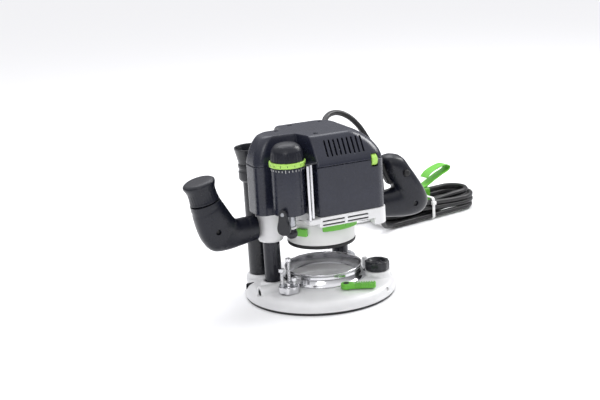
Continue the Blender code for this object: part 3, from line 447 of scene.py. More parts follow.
def rounded_outline(corners, steps=8):
    """Outline with an arc at each (x, y, radius) corner."""
    points = []
    count = len(corners)
    for i, (x, y, radius) in enumerate(corners):
        here = Vector((x, y))
        before = (Vector(corners[i - 1][:2]) - here).normalized()
        after = (Vector(corners[(i + 1) % count][:2]) - here).normalized()
        half = before.angle(after) / 2
        centre = here + (before + after).normalized() * (radius / math.sin(half))
        first = here + before * (radius / math.tan(half)) - centre
        last = here + after * (radius / math.tan(half)) - centre
        begin = math.atan2(first.y, first.x)
        sweep = math.atan2(last.y, last.x) - begin
        sweep = (sweep + math.pi) % (2 * math.pi) - math.pi
        for k in range(steps + 1):
            x, y = polar(radius, begin + sweep * k / steps)
            points.append((centre.x + x, centre.y + y))
    return points


def catmull(stations, per_span):
    """Smooth run of values through stations, each a tuple of numbers."""
    rows = [Vector(s) for s in stations]
    rows = [2 * rows[0] - rows[1], *rows, 2 * rows[-1] - rows[-2]]
    out = []
    for i in range(1, len(rows) - 2):
        a, b, c, d = rows[i - 1:i + 3]
        for k in range(per_span):
            t = k / per_span
            out.append(0.5 * (2 * b + (c - a) * t + (2 * a - 5 * b + 4 * c - d) * t * t
                              + (3 * b - a - 3 * c + d) * t ** 3))
    out.append(rows[-2])
    return out


def piece(obj, mat, body, *nodes, slot=None):
    """Give a piece its material, tie it to a CAD body, and hide the CAD nodes that it stands for."""
    obj.data.materials.clear()
    obj.data.materials.append(mat)
    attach(obj, body)
    if nodes:
        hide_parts(*nodes)
    return obj


def dress_cad():
    """Finer materials for the CAD nodes."""
    for name, node in frame["nodes"].items():
        node.data.materials.clear()
        node.data.materials.append(CAD_MATERIALS[SLOTS[name]])


# ---- stage ----------------------------------------------------------------------------
def camera():
    """Camera at the height, distance and tilt that the picture was taken from."""
    azimuth, pitch, roll = math.radians(-23.23), math.radians(15.05), math.radians(-3.5)
    data = bpy.data.cameras.new("camera")
    data.lens = 73
    data.sensor_width = 36
    data.clip_end = 60
    obj = bpy.data.objects.new("camera", data)
    bpy.context.scene.collection.objects.link(obj)
    turn = (Matrix.Rotation(azimuth, 4, "Z") @ Matrix.Rotation(math.pi / 2 - pitch, 4, "X")
            @ Matrix.Rotation(roll, 4, "Z"))
    obj.matrix_world = Matrix.Translation(at(-0.565, -1.2589, 0.483)) @ turn
    bpy.context.scene.camera = obj


def softbox(name, where, target, size, power, tint=(1, 1, 1)):
    """Rectangular area light aimed at a point."""
    data = bpy.data.lights.new(name, "AREA")
    data.shape = "RECTANGLE"
    data.size, data.size_y = size
    data.energy = power
    data.color = tint
    obj = bpy.data.objects.new(name, data)
    bpy.context.scene.collection.objects.link(obj)
    aim(obj, where, Vector(where) - Vector(target))


def stage():
    """Pale floor, pale surroundings and soft studio light."""
    data = bmesh.new()
    bmesh.ops.create_grid(data, x_segments=2, y_segments=2, size=15)
    floor = mesh_object("floor", data)
    floor.location.z = -0.0002
    mat = bpy.data.materials.new("pale_floor")
    mat.use_nodes = True
    shader = mat.node_tree.nodes["Principled BSDF"]
    shader.inputs["Base Color"].default_value = (0.92, 0.92, 0.925, 1)
    shader.inputs["Roughness"].default_value = 0.55
    shader.inputs["Specular IOR Level"].default_value = 0.25
    floor.data.materials.append(mat)
    studio()
    softbox("overhead", (0.1, 0.55, 1.35), (0, 0, 0.08), (1.3, 0.9), 10, (0.95, 0.96, 1.0))
    softbox("key", (1.15, 0.1, 0.95), (0, 0, 0.08), (0.6, 0.6), 10)
    softbox("fill", (-0.75, -1.1, 0.75), (0, 0, 0.1), (0.5, 0.5), 2.5)
    bpy.context.scene.view_settings.view_transform = "Standard"


def studio():
    """Surroundings that are bright overhead and darker towards the horizon."""
    world = bpy.data.worlds.new("studio")
    world.use_nodes = True
    tree = world.node_tree
    way = tree.nodes.new("ShaderNodeTexCoord")
    split = tree.nodes.new("ShaderNodeSeparateXYZ")
    ramp_node = tree.nodes.new("ShaderNodeValToRGB")
    ramp = ramp_node.color_ramp
    ramp.elements[0].color = (0.22, 0.22, 0.24, 1)
    ramp.elements[1].color = (1.25, 1.25, 1.27, 1)
    for place, grey in ((0.28, 0.34), (0.5, 1.05)):
        ramp.elements.new(place).color = (grey, grey, grey * 1.02, 1)
    tree.links.new(way.outputs["Generated"], split.inputs[0])
    tree.links.new(split.outputs["Z"], ramp_node.inputs["Fac"])
    tree.links.new(ramp_node.outputs["Color"], tree.nodes["Background"].inputs["Color"])
    bpy.context.scene.world = world


# ---- cord -----------------------------------------------------------------------------
HANK_AT = at(0.2555, 0.2135)
HANK_TURN = math.radians(10.4)
HANK_HALF = 0.056
INNER, OUTER = 0.021, 0.028
LAYERS = tuple(0.0056 + 0.0071 * i for i in range(4))
CORD_ROUTE = ((0.043, 0.0684, 0.1862), (0.0505, 0.079, 0.1895), (0.061, 0.0875, 0.192),
              (0.074, 0.092, 0.191), (0.0875, 0.093, 0.1845), (0.0995, 0.0925, 0.173),
              (0.1095, 0.092, 0.158), (0.12, 0.093, 0.138), (0.1295, 0.0975, 0.112),
              (0.138, 0.108, 0.082), (0.146, 0.1245, 0.053), (0.155, 0.143, 0.028),
              (0.1675, 0.1595, 0.0115), (0.1848, 0.1721, 0.0056))
CORD_TAIL = ((0.1747, 0.2271, 0.0056), (0.16, 0.226, 0.0065), (0.145, 0.2275, 0.0095),
             (0.1312, 0.2314, 0.0126))
# stretches of the hank where the cord moves to another radius and layer; it starts at OUTER, 0
HANK_MOVES = {1: (INNER, 0), 4: (INNER, 1), 8: (INNER, 2), 12: (INNER, 3),
              14: (OUTER, 3), 16: (OUTER, 2), 20: (OUTER, 1), 22: (OUTER, 0)}
HANK_STRETCHES = 23  # front, right, back and left in turn
STRETCH_STEPS = 14


def ease(t):
    """Smooth step from 0 to 1."""
    return t * t * (3 - 2 * t)


def hank_points():
    """The cord's line through its folds, run by run and end by end."""
    points = []
    after = OUTER, 0
    for stretch in range(HANK_STRETCHES):
        before, after = after, HANK_MOVES.get(stretch, after)
        side = 1 if stretch % 4 < 2 else -1
        for k in range(STRETCH_STEPS):
            t = k / STRETCH_STEPS
            radius = before[0] + (after[0] - before[0]) * ease(t)
            height = LAYERS[before[1]] + (LAYERS[after[1]] - LAYERS[before[1]]) * ease(t)
            if stretch % 2 == 0:
                u, v = side * HANK_HALF * (2 * t - 1), -side * radius
            else:
                u, v = polar(radius, math.pi * t - side * math.pi / 2)
                u += side * HANK_HALF
            points.append(Vector((u, v, height)))
    turn = Matrix.Rotation(HANK_TURN, 4, "Z")
    return [turn @ p + HANK_AT for p in points]


def cord_line():
    """Every point of the cord, from its strain relief to its plug."""
    run = [at(*p) for p in catmull(CORD_ROUTE, 6)]
    tail = [at(*p) for p in catmull(CORD_TAIL, 6)]
    return run + hank_points() + tail


def tube(name, points, radius, sides=14):
    """Round tube along points, closed at its ends."""
    rings = []
    normal = Vector((0, 0, 1))
    for i, point in enumerate(points):
        way = (points[min(i + 1, len(points) - 1)] - points[max(i - 1, 0)]).normalized()
        normal = (normal - way * normal.dot(way)).normalized()
        side = way.cross(normal)
        angles = [2 * math.pi * k / sides for k in range(sides)]
        rings.append([point + (normal * math.cos(a) + side * math.sin(a)) * radius for a in angles])
    return loft(name, rings)


def cord(on_it):
    """The mains cord in one length, from its strain relief to its plug."""
    points = cord_line()
    line = tube("mains_cord", points, CORD_R)
    line.data.materials.append(CORD)
    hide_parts("cord_run", "cord_hank", "cord_tail")
    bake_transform(line)


# ---- base pieces ----------------------------------------------------------------------
def rod(radius, bottom, top, edge=0.0005):
    """Profile of a plain round bar."""
    return [(radius - edge, top), (radius, top - edge), (radius, bottom + edge), (radius - edge, bottom)]


def drum(radius, bottom, top, x, y, sides=48):
    """Sharp upright cylinder, used for cutting."""
    return lathe("drum", [(radius, top), (radius, bottom)], at(x, y), sides=sides, edge=0)


def from_spindle(point):
    """A point's x and y from the spindle's axis."""
    return point.x - SPINDLE.x, point.y - SPINDLE.y


def base_casting():
    """Round casting with its bosses, stepped opening, rod bores and clamp seats."""
    bottom = 0.0028
    rim = [(0.058, DECK_Z), (0.08, 0.0165), (0.0855, 0.0148), (0.0885, 0.011),
           (BASE_R, 0.005), (BASE_R - 0.0004, bottom)]
    body = lathe("base_body", rim, BASE, sides=160, edge=0.0022)
    joined = []
    boss = [(0.0135, BOSS_TOP), (0.0155, BOSS_TOP - 0.002), (0.017, 0.012)]
    foot = [(0.0155, BOSS_TOP), (0.018, 0.019), (0.019, 0.012)]
    pad = [(0.014, 0.0235), (0.0165, 0.012)]
    for profile, spot in ((boss, LEFT_COL), (boss, RIGHT_COL), (foot, DUCT), (pad, at(*KNOB))):
        joined.append(lathe("boss", profile, (spot.x, spot.y, 0), sides=64, edge=0.0012))
    tunnel = [(0.0066, 0.037), (0.008, 0.034), (0.008, 0.001), (0.0074, 0)]
    for side in (-1, 1):
        joined.append(lathe("rod_boss", tunnel, at(BASE_OFF + side * 0.0835, *FRONT_ROD), (-side, 0, 0), 48))
    joined.append(lathe("ring_post", rod(0.003, 0.012, 0.031), at(0.0546, -0.002), sides=32))
    boolean(body, joined, "UNION")
    cuts = [drum(0.042, 0.0125, 0.03, 0, 0, 128), drum(0.0503, 0.0175, 0.06, 0, 0, 128),
            drum(0.034, 0, 0.02, 0, 0, 96), drum(0.0134, 0.0175, 0.05, *TURRET),
            drum(COLUMN_SEAT_R, 0.0055, 0.03, *from_spindle(LEFT_COL)),
            drum(COLUMN_SEAT_R, 0.0055, 0.03, *from_spindle(RIGHT_COL)),
            drum(0.0115, 0.0075, 0.03, *from_spindle(DUCT))]
    cuts += [drum(0.0033, 0.008, 0.03, *spot, 24) for spot in (KNOB, TURRET, LEVER)]
    cuts.append(block("duct_channel", (0.045, 0.014, 0.009), at(-0.045, 0.03, 0.0115), spin=-0.65))
    for side in (-1, 1):
        for y, z in (FRONT_ROD, REAR_ROD):
            bore = [(ROD_BORE_R, 0.05), (ROD_BORE_R, 0)]
            cuts.append(lathe("rod_bore", bore, at(side * 0.051 + BASE_OFF, y, z), (side, 0, 0), 40, edge=0))
    for radius, reach, spot, way in ((0.0033, 0.04, THUMB_AT, (0, 1, 0)),
                                     (0.0024, 0.03, (0.043, -0.059, 0.0105), (0.5, -0.87, 0))):
        cuts.append(lathe("thread", [(radius, reach), (radius, 0)], at(*spot), way, 32, edge=0))
    boolean(body, cuts)
    body.name = "base_plate"
    piece(body, CAST, "base", "base_casting")
    bore_shade_cups()


def bore_shade_cups():
    """Dark cups in the rod bores: painted shade deep inside the holes."""
    cup = [(ROD_BORE_R, 0.013), (ROD_BORE_R, 0), (0.0005, 0), (0.0005, 0.001), (0.0036, 0.001),
           (0.0036, 0.013)]
    shade_cups = []
    for side in (-1, 1):
        for y, z in (FRONT_ROD, REAR_ROD):
            spot = at(side * 0.07 + BASE_OFF, y, z)
            shade_cups.append(lathe("bore_shade_cup", cup, spot, (side, 0, 0), 32, ring=True, edge=0))
    # the dark cups are painted shade inside the bores
    piece(merged("bore_shade_cups", shade_cups), INK_AND_SHADE, "base", slot="moulded_plastic")


def base_fittings():
    """Sole, columns and their springs, and the bright chip ring."""
    sole = [(0.0885, 0.0025), (0.0885, 0.0), (0.032, 0.0), (0.032, 0.0025)]
    data = lathe("sole_plate", sole, BASE, sides=160, ring=True, edge=0.0004)
    piece(data, SOLE, "base", "running_sole")
    top = high("left_column")
    for name, spot in (("left", LEFT_COL), ("right", RIGHT_COL)):
        guide = [(0.009, top), (0.01, top - 0.001), (0.01, 0.0058), (0.0075, 0.0058), (0.0075, top)]
        foot = Vector((spot.x, spot.y, 0))
        piece(lathe(f"{name}_guide", guide, foot, sides=72, ring=True), COATED, "base", f"{name}_column")
        coil = spring(f"{name}_coil", foot)
        coil.data.materials.append(STEEL)
        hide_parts(f"{name}_spring")
        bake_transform(coil)
    wall = [(0.045, 0.0332), (0.0462, 0.0324), (0.046, 0.0308), (0.0452, 0.0296), (0.0456, 0.026),
            (0.0476, 0.0212), (0.05, 0.019), (0.05, 0.0178), (0.0425, 0.0178), (0.043, 0.024),
            (0.044, 0.0318)]
    piece(lathe("chip_collar", wall, sides=144, ring=True, edge=0.0009), CHROME, "base", "chip_ring")


def spring(name, foot):
    """Coil spring that stands in a column."""
    steps = 20
    bottom, top = SPRING_Z
    points = []
    for i in range(SPRING_TURNS * steps + 1):
        height = bottom + (top - bottom) * i / (SPRING_TURNS * steps)
        points.append(foot + Vector((*polar(SPRING_R, 2 * math.pi * i / steps), height)))
    return tube(name, points, 0.0008, 6)


def dust_duct():
    """Extraction duct, its ribbed collar and the flared hose nozzle."""
    foot = at(*from_spindle(DUCT))
    pipe = [(0.014, 0.136), (0.014, 0.0223), (0.0122, 0.0223), (0.0122, 0.136)]
    piece(lathe("duct_pipe", pipe, foot, sides=72, ring=True), DARK, "base", "dust_duct")
    collar = [(0.0176, 0.157), (0.0185, 0.1562), (0.0185, 0.1525), (0.0178, 0.1518), (0.0178, 0.149),
              (0.0185, 0.1483), (0.0185, 0.139), (0.0165, 0.1363), (0.0125, 0.1363),
              (0.0125, 0.145), (0.015, 0.148), (0.015, 0.157)]
    piece(lathe("duct_socket", collar, foot, sides=72, ring=True, edge=0.0004), DARK, "base", "duct_collar")
    funnel = [(0.0215, 0.1765), (0.0222, 0.1757), (0.0217, 0.1735), (0.0199, 0.1665), (0.0182, 0.1595),
              (0.018, 0.1575), (0.0152, 0.1575), (0.016, 0.16), (0.0182, 0.168), (0.0203, 0.176)]
    nozzle = lathe("hose_funnel", funnel, foot, sides=72, ring=True, edge=0.0004)
    piece(nozzle, DARK, "hose_nozzle", "dust_nozzle")


def template_lever():
    """Lime lever: round head with its screw, and a ribbed tail."""
    tilt = math.radians(-25)
    outline = [(0.034 - 0.002 * (1 - math.cos(a)), 0.0042 * math.sin(a))
               for a in (math.pi * (i / 8 - 0.5) for i in range(9))]
    outline += [polar(0.0064, math.radians(46 + 268 * i / 40)) for i in range(41)]
    lever = slab("lever", outline, 0.0184, 0.0247, at(*LEVER), edge=0.0007, spin=tilt)
    way = Vector((*polar(1, tilt), 0))
    side = Vector((-way.y, way.x, 0))
    cuts = []
    for i in range(8):
        spot = at(*LEVER, 0.025) + way * (0.0105 + 0.0029 * i)
        cuts.append(block("groove", (0.0014, 0.02, 0.003), spot, 0, spin=tilt))
        for edge in (-1, 1):
            beside = spot + side * (0.0046 * edge)
            cuts.append(block("side_groove", (0.0014, 0.0024, 0.02), beside, 0, spin=tilt))
    boolean(lever, cuts)
    lever.name = "guide_lever"
    piece(lever, LIME, "template_lever", "template_lever")
    head = [(0.003, 0.0252), (0.0036, 0.0246), (0.0036, 0.0236)]
    screw = lathe("lever_screw", head, at(*LEVER), sides=40, edge=0.0002)
    piece(screw, INK_AND_SHADE, "template_lever", slot="ground_steel")


def stop_turret():
    """Lobed turret, and its three threaded stops with their nuts."""
    lobes = []
    for i in range(96):
        angle = 2 * math.pi * i / 96
        lobes.append(polar(0.0118 + 0.0009 * math.cos(angle * 6), angle))
    disc = slab("turret_disc", lobes, 0.0178, 0.0258, at(*TURRET), edge=0.0008)
    piece(disc, CHROME, "turret", "stop_turret")
    hub = [(0.004, 0.0283), (0.004, 0.0262), (0.0052, 0.0258), (0.0052, 0.025)]
    piece(lathe("turret_hub", hub, at(*TURRET), sides=40, edge=0.0004), CHROME, "turret", slot="bright_steel")
    pitch = 0.0008
    x, y = from_spindle(STOP)
    begin = math.atan2(y - TURRET[1], x - TURRET[0])  # the first stop stands under the depth stop
    for i in range(3):
        node = f"stop_screw_{i + 1}"
        spot = at(*TURRET) + Vector((*polar(0.008, begin + 2 * math.pi * i / 3), 0))
        top = high(node)
        thread = []
        for k in range(int((top - 0.0045 - 0.0283) / pitch)):
            level = top - 0.0046 - pitch * k
            thread += [(0.0021, level), (0.0017, level - pitch / 2)]
        profile = [(0.0028, top), (0.0034, top - 0.0006), (0.0034, top - 0.004),
                   *thread, (0.0021, 0.0285), (0.0021, 0.0262)]
        screw = lathe(f"stop_{i + 1}", profile, spot, sides=28, edge=0.0002)
        piece(screw, CHROME, "turret", node)
        hexagon = [polar(0.0037, math.pi * k / 3) for k in range(6)]
        nut = slab(f"stop_nut_{i + 1}", hexagon, 0.026, 0.0284, spot, edge=0.0003, spin=0.3 * i)
        piece(nut, STEEL, "turret", slot="bright_steel")


def clamp_knobs():
    """Fluted fence clamp knob, and the knurled thumb screw at the back."""
    def flutes(angle, radius, height):
        return radius * (1 - 0.045 * (0.5 - 0.5 * math.cos(10 * angle))) if radius > 0.012 else radius

    cap = [(0, 0.0312), (0.008, 0.0316), (0.0104, 0.035), (0.0125, 0.0355), (0.0148, 0.0342),
           (0.0149, 0.029), (0.0142, 0.0245), (0.013, 0.0239)]
    knob = lathe("clamp_cap", cap, at(*KNOB), sides=120, lobes=flutes, edge=0.0009)
    piece(knob, DARK, "clamp_knob", "fence_clamp_knob")
    stem = [(0.006, 0.038), (0.0068, 0.0372), (0.0068, 0.03), (0.006, 0.0293), (0.003, 0.0293),
            (0.003, 0.0005)]
    knurl = ribs(24, 0.0003, least=0.006)
    thumb = lathe("thumb_screw", stem, at(*THUMB_AT), (0, 1, 0), 96, lobes=knurl, edge=0.0003)
    piece(thumb, STEEL, "rear_clamp", "rear_clamp_screw")


# ---- motor carriage -------------------------------------------------------------------
def ring_at(height, front=0.0, right=0.0, back=0.0, left=0.0, extra=0.0, wall=0.0):
    """Motor housing's plan at a height, its sides drawn in by the given amounts, and all by a wall."""
    near, far = FRONT_Y + front + wall, BACK_Y - back - wall
    east, west = RIGHT_X - right - wall, TOWER_X + left + wall
    tower = left * 0.4 + wall
    step = STEP_X + wall
    inner, outer = 0.003 + wall, 0.0036 - wall
    plan = rounded_outline([
        (RECESS_X + wall, near, outer), (east, near, 0.013 + extra - wall),
        (east, far, 0.016 + extra - wall), (step, far, 0.006 - wall), (step, TOWER_BACK - tower, inner),
        (west, TOWER_BACK - tower, 0.012 - wall), (west, TOWER_FRONT + tower, 0.011 - wall),
        (RECESS_IN_X + wall, TOWER_FRONT + wall, inner)])
    return [at(x, y, height) for x, y in plan]


def shell(name, rings):
    """Open moulding through rings of points, with a wall inside its skin."""
    data = bmesh.new()
    skin(data, [[data.verts.new(point) for point in ring] for ring in rings])
    data.normal_update()
    mesh = bpy.data.meshes.new(name)
    data.to_mesh(mesh)
    data.free()
    obj = bpy.data.objects.new(name, mesh)
    bpy.context.scene.collection.objects.link(obj)
    wall = obj.modifiers.new("wall", "SOLIDIFY")
    wall.thickness = WALL
    wall.offset = -1
    wall.use_even_offset = True
    return settle(obj)


def crown(name, steps, wall=0.0):
    """Solid through the top cover's rings, drawn in and lowered by a wall."""
    return loft(name, [ring_at(height - wall, *insets, 0.002, wall) for height, *insets in steps], 30)


def dial_slot():
    """Cutter for the speed dial's slot."""
    return block("slot", (0.0085, 0.03, 0.015), at(DIAL_X, FRONT_Y + 0.008, DIAL_Z), 0.0012)


def gland_hole():
    """Cutter for the cord's way out."""
    return lathe("gland_hole", rod(0.0078, -0.03, 0.03), at(*GLAND_AT), GLAND_WAY, 48)


def motor_housing():
    """Lower moulding, with the dial's slot and the vents in its side."""
    bottom, top = FLANGE_Z[1] + 0.0003, SEAM_Z - 0.0003
    lip = 0.0007
    rings = [ring_at(bottom, lip, lip, lip, lip), ring_at(bottom + lip), ring_at(top - lip),
             ring_at(top, lip, lip, lip, lip)]
    body = shell("motor_moulding", rings)
    cuts = [dial_slot()]
    for z in (0.12, 0.128, 0.136):
        cuts.append(block("side_vent", (0.01, 0.05, 0.0025), at(RIGHT_X, 0.006, z), 0.001))
    cuts.append(gland_hole())
    boolean(body, cuts)
    body.name = "motor_moulding"
    piece(body, NAVY, "carriage", "motor_housing")


def top_cover():
    """Crowned top moulding with nine vents, screw wells and the dial's slot."""
    lip = 0.0006
    steps = [(SEAM_Z, lip, lip, lip, lip), (SEAM_Z + 0.0008, 0, 0, 0, 0)]
    steps += catmull(((SEAM_Z + 0.002, 0, 0, 0, 0), (0.174, 0.003, 0.002, 0.003, 0.0015),
                      (0.183, 0.008, 0.0075, 0.008, 0.0045), (0.191, 0.0125, 0.016, 0.013, 0.0085),
                      (0.1965, 0.016, 0.0245, 0.018, 0.013), (TOP_Z, 0.02, 0.029, 0.023, 0.0175)), 3)
    body = crown("top_moulding", steps)
    cuts = [crown("top_room", steps, WALL), dial_slot()]
    for i in range(9):
        slit = block("vent", (0.0022, 0.02, 0.02), (0, 0, 0), 0.0008)
        slit.matrix_world = (Matrix.Translation(at(-0.012 + VENT_PITCH * i, FRONT_Y + 0.0085, 0.1835))
                             @ Matrix.Rotation(VENT_TILT, 4, "X"))
        cuts.append(slit)
    for x, y in SCREW_WELLS:
        cuts.append(drum(0.003, TOP_Z - 0.0022, TOP_Z + 0.01, x, y, 32))
    cuts.append(gland_hole())
    boolean(body, cuts)
    body.name = "top_moulding"
    piece(body, NAVY, "carriage", "top_cover")
    head = [(0.001, TOP_Z - 0.0014), (0.0011, TOP_Z - 0.001), (0.002, TOP_Z - 0.001),
            (0.0027, TOP_Z - 0.0014), (0.0027, TOP_Z - 0.0021)]
    for i, spot in enumerate(SCREW_WELLS):
        screw = lathe(f"cover_screw_{i + 1}", head, at(*spot), sides=32, edge=0.0002)
        piece(screw, STEEL, "carriage", slot="ground_steel")


def motor_carrier():
    """Light casting under the motor: slotted strip, corner block, neck and plunge sleeves, and dark blocks
    behind the slots as painted shade.
    """
    bottom, top = FLANGE_Z
    front, east = FRONT_Y - 0.0008, RIGHT_X + 0.0008
    outline = rounded_outline([
        (RECESS_X - 0.001, front, 0.003), (east, front, 0.013), (east, BACK_Y, 0.016),
        (STEP_X, BACK_Y, 0.006), (STEP_X, TOWER_BACK, 0.003), (-0.05, TOWER_BACK, 0.004),
        (-0.05, -0.01, 0.004), (RECESS_IN_X, TOWER_FRONT, 0.003)])
    body = slab("carrier", outline, bottom, top, edge=0.0007)
    corner = rounded_outline([(0.04, front, 0.002), (east, front, 0.013), (east, -0.022, 0.006),
                              (0.046, -0.022, 0.004)])
    lug = rounded_outline([(-0.041, -0.062, 0.003), (-0.025, -0.0615, 0.002), (-0.025, -0.048, 0.002),
                           (-0.041, -0.05, 0.003)], 6)
    joined = [slab("corner", corner, 0.088, bottom + 0.004, edge=0.0009),
              slab("lug", lug, 0.1005, 0.1065, edge=0.0008)]
    sleeve = [(0.0172, top), (0.0172, top - 0.003), (0.015, 0.098), (0.015, 0.0735), (0.014, 0.071)]
    for spot in (LEFT_COL, RIGHT_COL):
        joined.append(lathe("sleeve", sleeve, (spot.x, spot.y, 0), sides=72, edge=0.0012))
    neck = [(0.035, bottom + 0.004), (0.035, 0.0885), (0.033, 0.087)]
    joined.append(lathe("neck", neck))
    joined.append(block("web", (0.0205, 0.014, 0.022), at(-0.05175, 0.006, 0.0925), 0.0012))
    boolean(body, joined, "UNION")
    cuts = [drum(SLEEVE_BORE_R, 0.05, 0.13, *from_spindle(column)) for column in (LEFT_COL, RIGHT_COL)]
    for radius, low_z, high_z in ((0.0133, 0.095, 0.12), (0.017, 0.08, 0.091), (0.009, 0.08, 0.12)):
        cuts.append(drum(radius, low_z, high_z, 0, 0))
    # dark blocks just behind the slots are painted shade, so the shallow slots look deep and black
    shade_blocks = []
    for x, wide in ((-0.011, 0.028), (0.0195, 0.0265)):
        for z in (0.0985, 0.103):
            cuts.append(block("slot", (wide, 0.006, 0.0019), at(x, FRONT_Y + 0.0005, z), 0.0006))
            shade_blocks.append(block("slot_shade_block", (wide + 0.001, 0.003, 0.003), at(x, FRONT_Y + 0.0024, z), 0))
    boolean(body, cuts)
    body.name = "carrier_casting"
    piece(body, CAST, "carriage", "motor_carrier")
    piece(merged("slot_shade_blocks", shade_blocks), INK_AND_SHADE, "carriage", slot="moulded_plastic")


def shroud():
    """Light collar with its dark seal, the lime lock rocker and the collar's catch."""
    top = high("shroud")
    collar = [(0.04, top), (0.04, 0.0925), (0.0395, 0.092), (0.0395, 0.0905), (0.04, 0.09),
              (0.04, 0.0662), (0.0372, 0.0662), (0.0372, top)]
    piece(lathe("chip_shroud", collar, sides=144, ring=True, edge=0.0003), NYLON, "carriage", "shroud")
    seal = [(0.0405, 0.0659), (0.0406, 0.064), (0.0402, 0.062), (0.0365, 0.062), (0.0365, 0.0659)]
    piece(lathe("lip_seal", seal, sides=144, ring=True, edge=0.0008), RUBBER, "carriage", "shroud_seal")
    rocker = slab("rocker", sector(0.043, 0.048, -112, -52, 30), 0.085, 0.0945, edge=0.0009)
    cuts = []
    for i in range(6):
        angle = math.radians(-78 + 4 * i)
        spot = at(*polar(0.0483, angle), 0.0897)
        cuts.append(block("rib_gap", (0.001, 0.0016, 0.012), spot, 0.0002, spin=angle + math.pi / 2))
    boolean(rocker, cuts)
    rocker.name = "lock_rocker"
    piece(rocker, LIME, "spindle_lock", "spindle_lock")
    catch = slab("collar_catch", sector(0.0404, 0.0455, -154, -136, 12), 0.0785, 0.0875, edge=0.0009)
    piece(catch, LIME, "shroud_latch", "shroud_latch")


def sector(inner, outer, begin, end, steps):
    """Outline of part of a flat ring, between two angles in degrees."""
    angles = [math.radians(begin + (end - begin) * i / steps) for i in range(steps + 1)]
    return [polar(outer, a) for a in angles] + [polar(inner, a) for a in reversed(angles)]


# ---- handles --------------------------------------------------------------------------
# each station: inner x and z, outer x and z, half depth, and y of its middle
LEFT_GRIP = (
    (-0.08, 0.104, -0.08, 0.076, 0.0125, 0.006), (-0.094, 0.1045, -0.097, 0.0735, 0.0125, 0.004),
    (-0.104, 0.105, -0.12, 0.071, 0.014, 0.002), (-0.1085, 0.1085, -0.1375, 0.0735, 0.0155, 0.0),
    (-0.1125, 0.1145, -0.148, 0.086, 0.0165, 0.0), (-0.118, 0.124, -0.154, 0.104, 0.0175, 0.0),
    (-0.1245, 0.135, -0.158, 0.1267, 0.0172, 0.0))
RIGHT_GRIP = (
    (0.0602, 0.108, 0.0602, 0.079, 0.013, 0.0), (0.08, 0.108, 0.086, 0.0755, 0.0125, 0.0),
    (0.0965, 0.11, 0.115, 0.0725, 0.014, 0.0), (0.0965, 0.1145, 0.134, 0.0755, 0.0155, 0.0),
    (0.0925, 0.1195, 0.1425, 0.087, 0.0165, 0.0), (0.0885, 0.1265, 0.139, 0.102, 0.0172, 0.0),
    (0.0855, 0.1345, 0.1285, 0.12, 0.0175, 0.0), (0.0835, 0.144, 0.1185, 0.135, 0.0165, 0.0),
    (0.086, 0.15, 0.112, 0.145, 0.013, 0.0), (0.092, 0.1525, 0.106, 0.15, 0.007, 0.0))
CAP_AT = (-0.1413, 0.0, 0.1314)
CAP_WAY = (-0.24, 0.0, 0.97)
TRIGGER_AT = (0.09, 0.0, 0.13)
TRIGGER_WAY = (-0.46, 0.0, 0.89)
LOCK_AT = (0.108, -0.014, 0.13)
LEFT_SCREW = (-0.133, 0.098)  # x and z
RIGHT_SCREW = (0.1205, 0.09)
GRIP_SIDES = 56
SEAM_SHRINK = 0.972


def squared(angle, power):
    """Cosine and sine of an angle, drawn out towards a square."""
    return [math.copysign(abs(value) ** power, value) for value in polar(1, angle)]


def grip_ring(station, shrink):
    """Rounded section between an inner and an outer point in the XZ plane."""
    in_x, in_z, out_x, out_z, depth, mid_y = station
    centre = Vector(((in_x + out_x) / 2, mid_y, (in_z + out_z) / 2))
    across = Vector(((in_x - out_x) / 2, 0, (in_z - out_z) / 2)) * shrink
    ring = []
    for i in range(GRIP_SIDES):
        c, s = squared(2 * math.pi * (i + 0.5) / GRIP_SIDES, 0.85)
        ring.append(at(*(centre + across * c + Vector((0, depth * shrink * s, 0)))))
    return ring


def grip(name, stations, seams):
    """Smooth moulded grip through its stations, with fine grooves round it at some of them."""
    rings = []
    for i, station in enumerate(catmull(stations, 10)):
        rings.append(grip_ring(station, SEAM_SHRINK if i in seams else 1.0))
    return loft(name, rings)


def screw_well(body, x, z):
    """Cut a round well into the front of a grip."""
    return boolean(body, [lathe("well", rod(0.0032, -0.0035, 0.03), at(x, -0.015, z), (0, -1, 0), 32)])


def well_screw(name, x, z):
    """Dark screw at the bottom of a grip's well."""
    head = [(0.0022, 0.0006), (0.0028, 0.0), (0.0028, -0.001)]
    screw = lathe(name, head, at(x, -0.0125, z), (0, -1, 0), 32, edge=0.0002)
    piece(screw, INK_AND_SHADE, "carriage", slot="moulded_plastic")


def left_handle():
    """Left arm and grip, its screw, and the flared knob that locks the plunge."""
    body = grip("left_grip", LEFT_GRIP, (8, 56))
    boolean(body, [lathe("seat", rod(0.0083, -0.012, 0.01), at(*CAP_AT), CAP_WAY, 40)])
    screw_well(body, *LEFT_SCREW)
    body.name = "left_grip"
    piece(body, GRIP, "carriage", "left_handle")
    well_screw("grip_screw_left", *LEFT_SCREW)
    cap = [(0, 0.0262), (0.011, 0.0264), (0.016, 0.0258), (0.0186, 0.024), (0.019, 0.0222),
           (0.0184, 0.02), (0.017, 0.0165), (0.0165, 0.014), (0.0164, 0.008), (0.0168, 0.004),
           (0.0172, 0.0012), (0.0165, 0.0006), (0.008, 0.0006), (0.008, -0.009)]
    waist = ribs(28, 0.0004, span=(0.003, 0.0145))
    knob = lathe("lock_cap", cap, at(*CAP_AT), CAP_WAY, 112, lobes=waist, edge=0.0012)
    piece(knob, GRIP, "plunge_lock", "plunge_lock_knob")


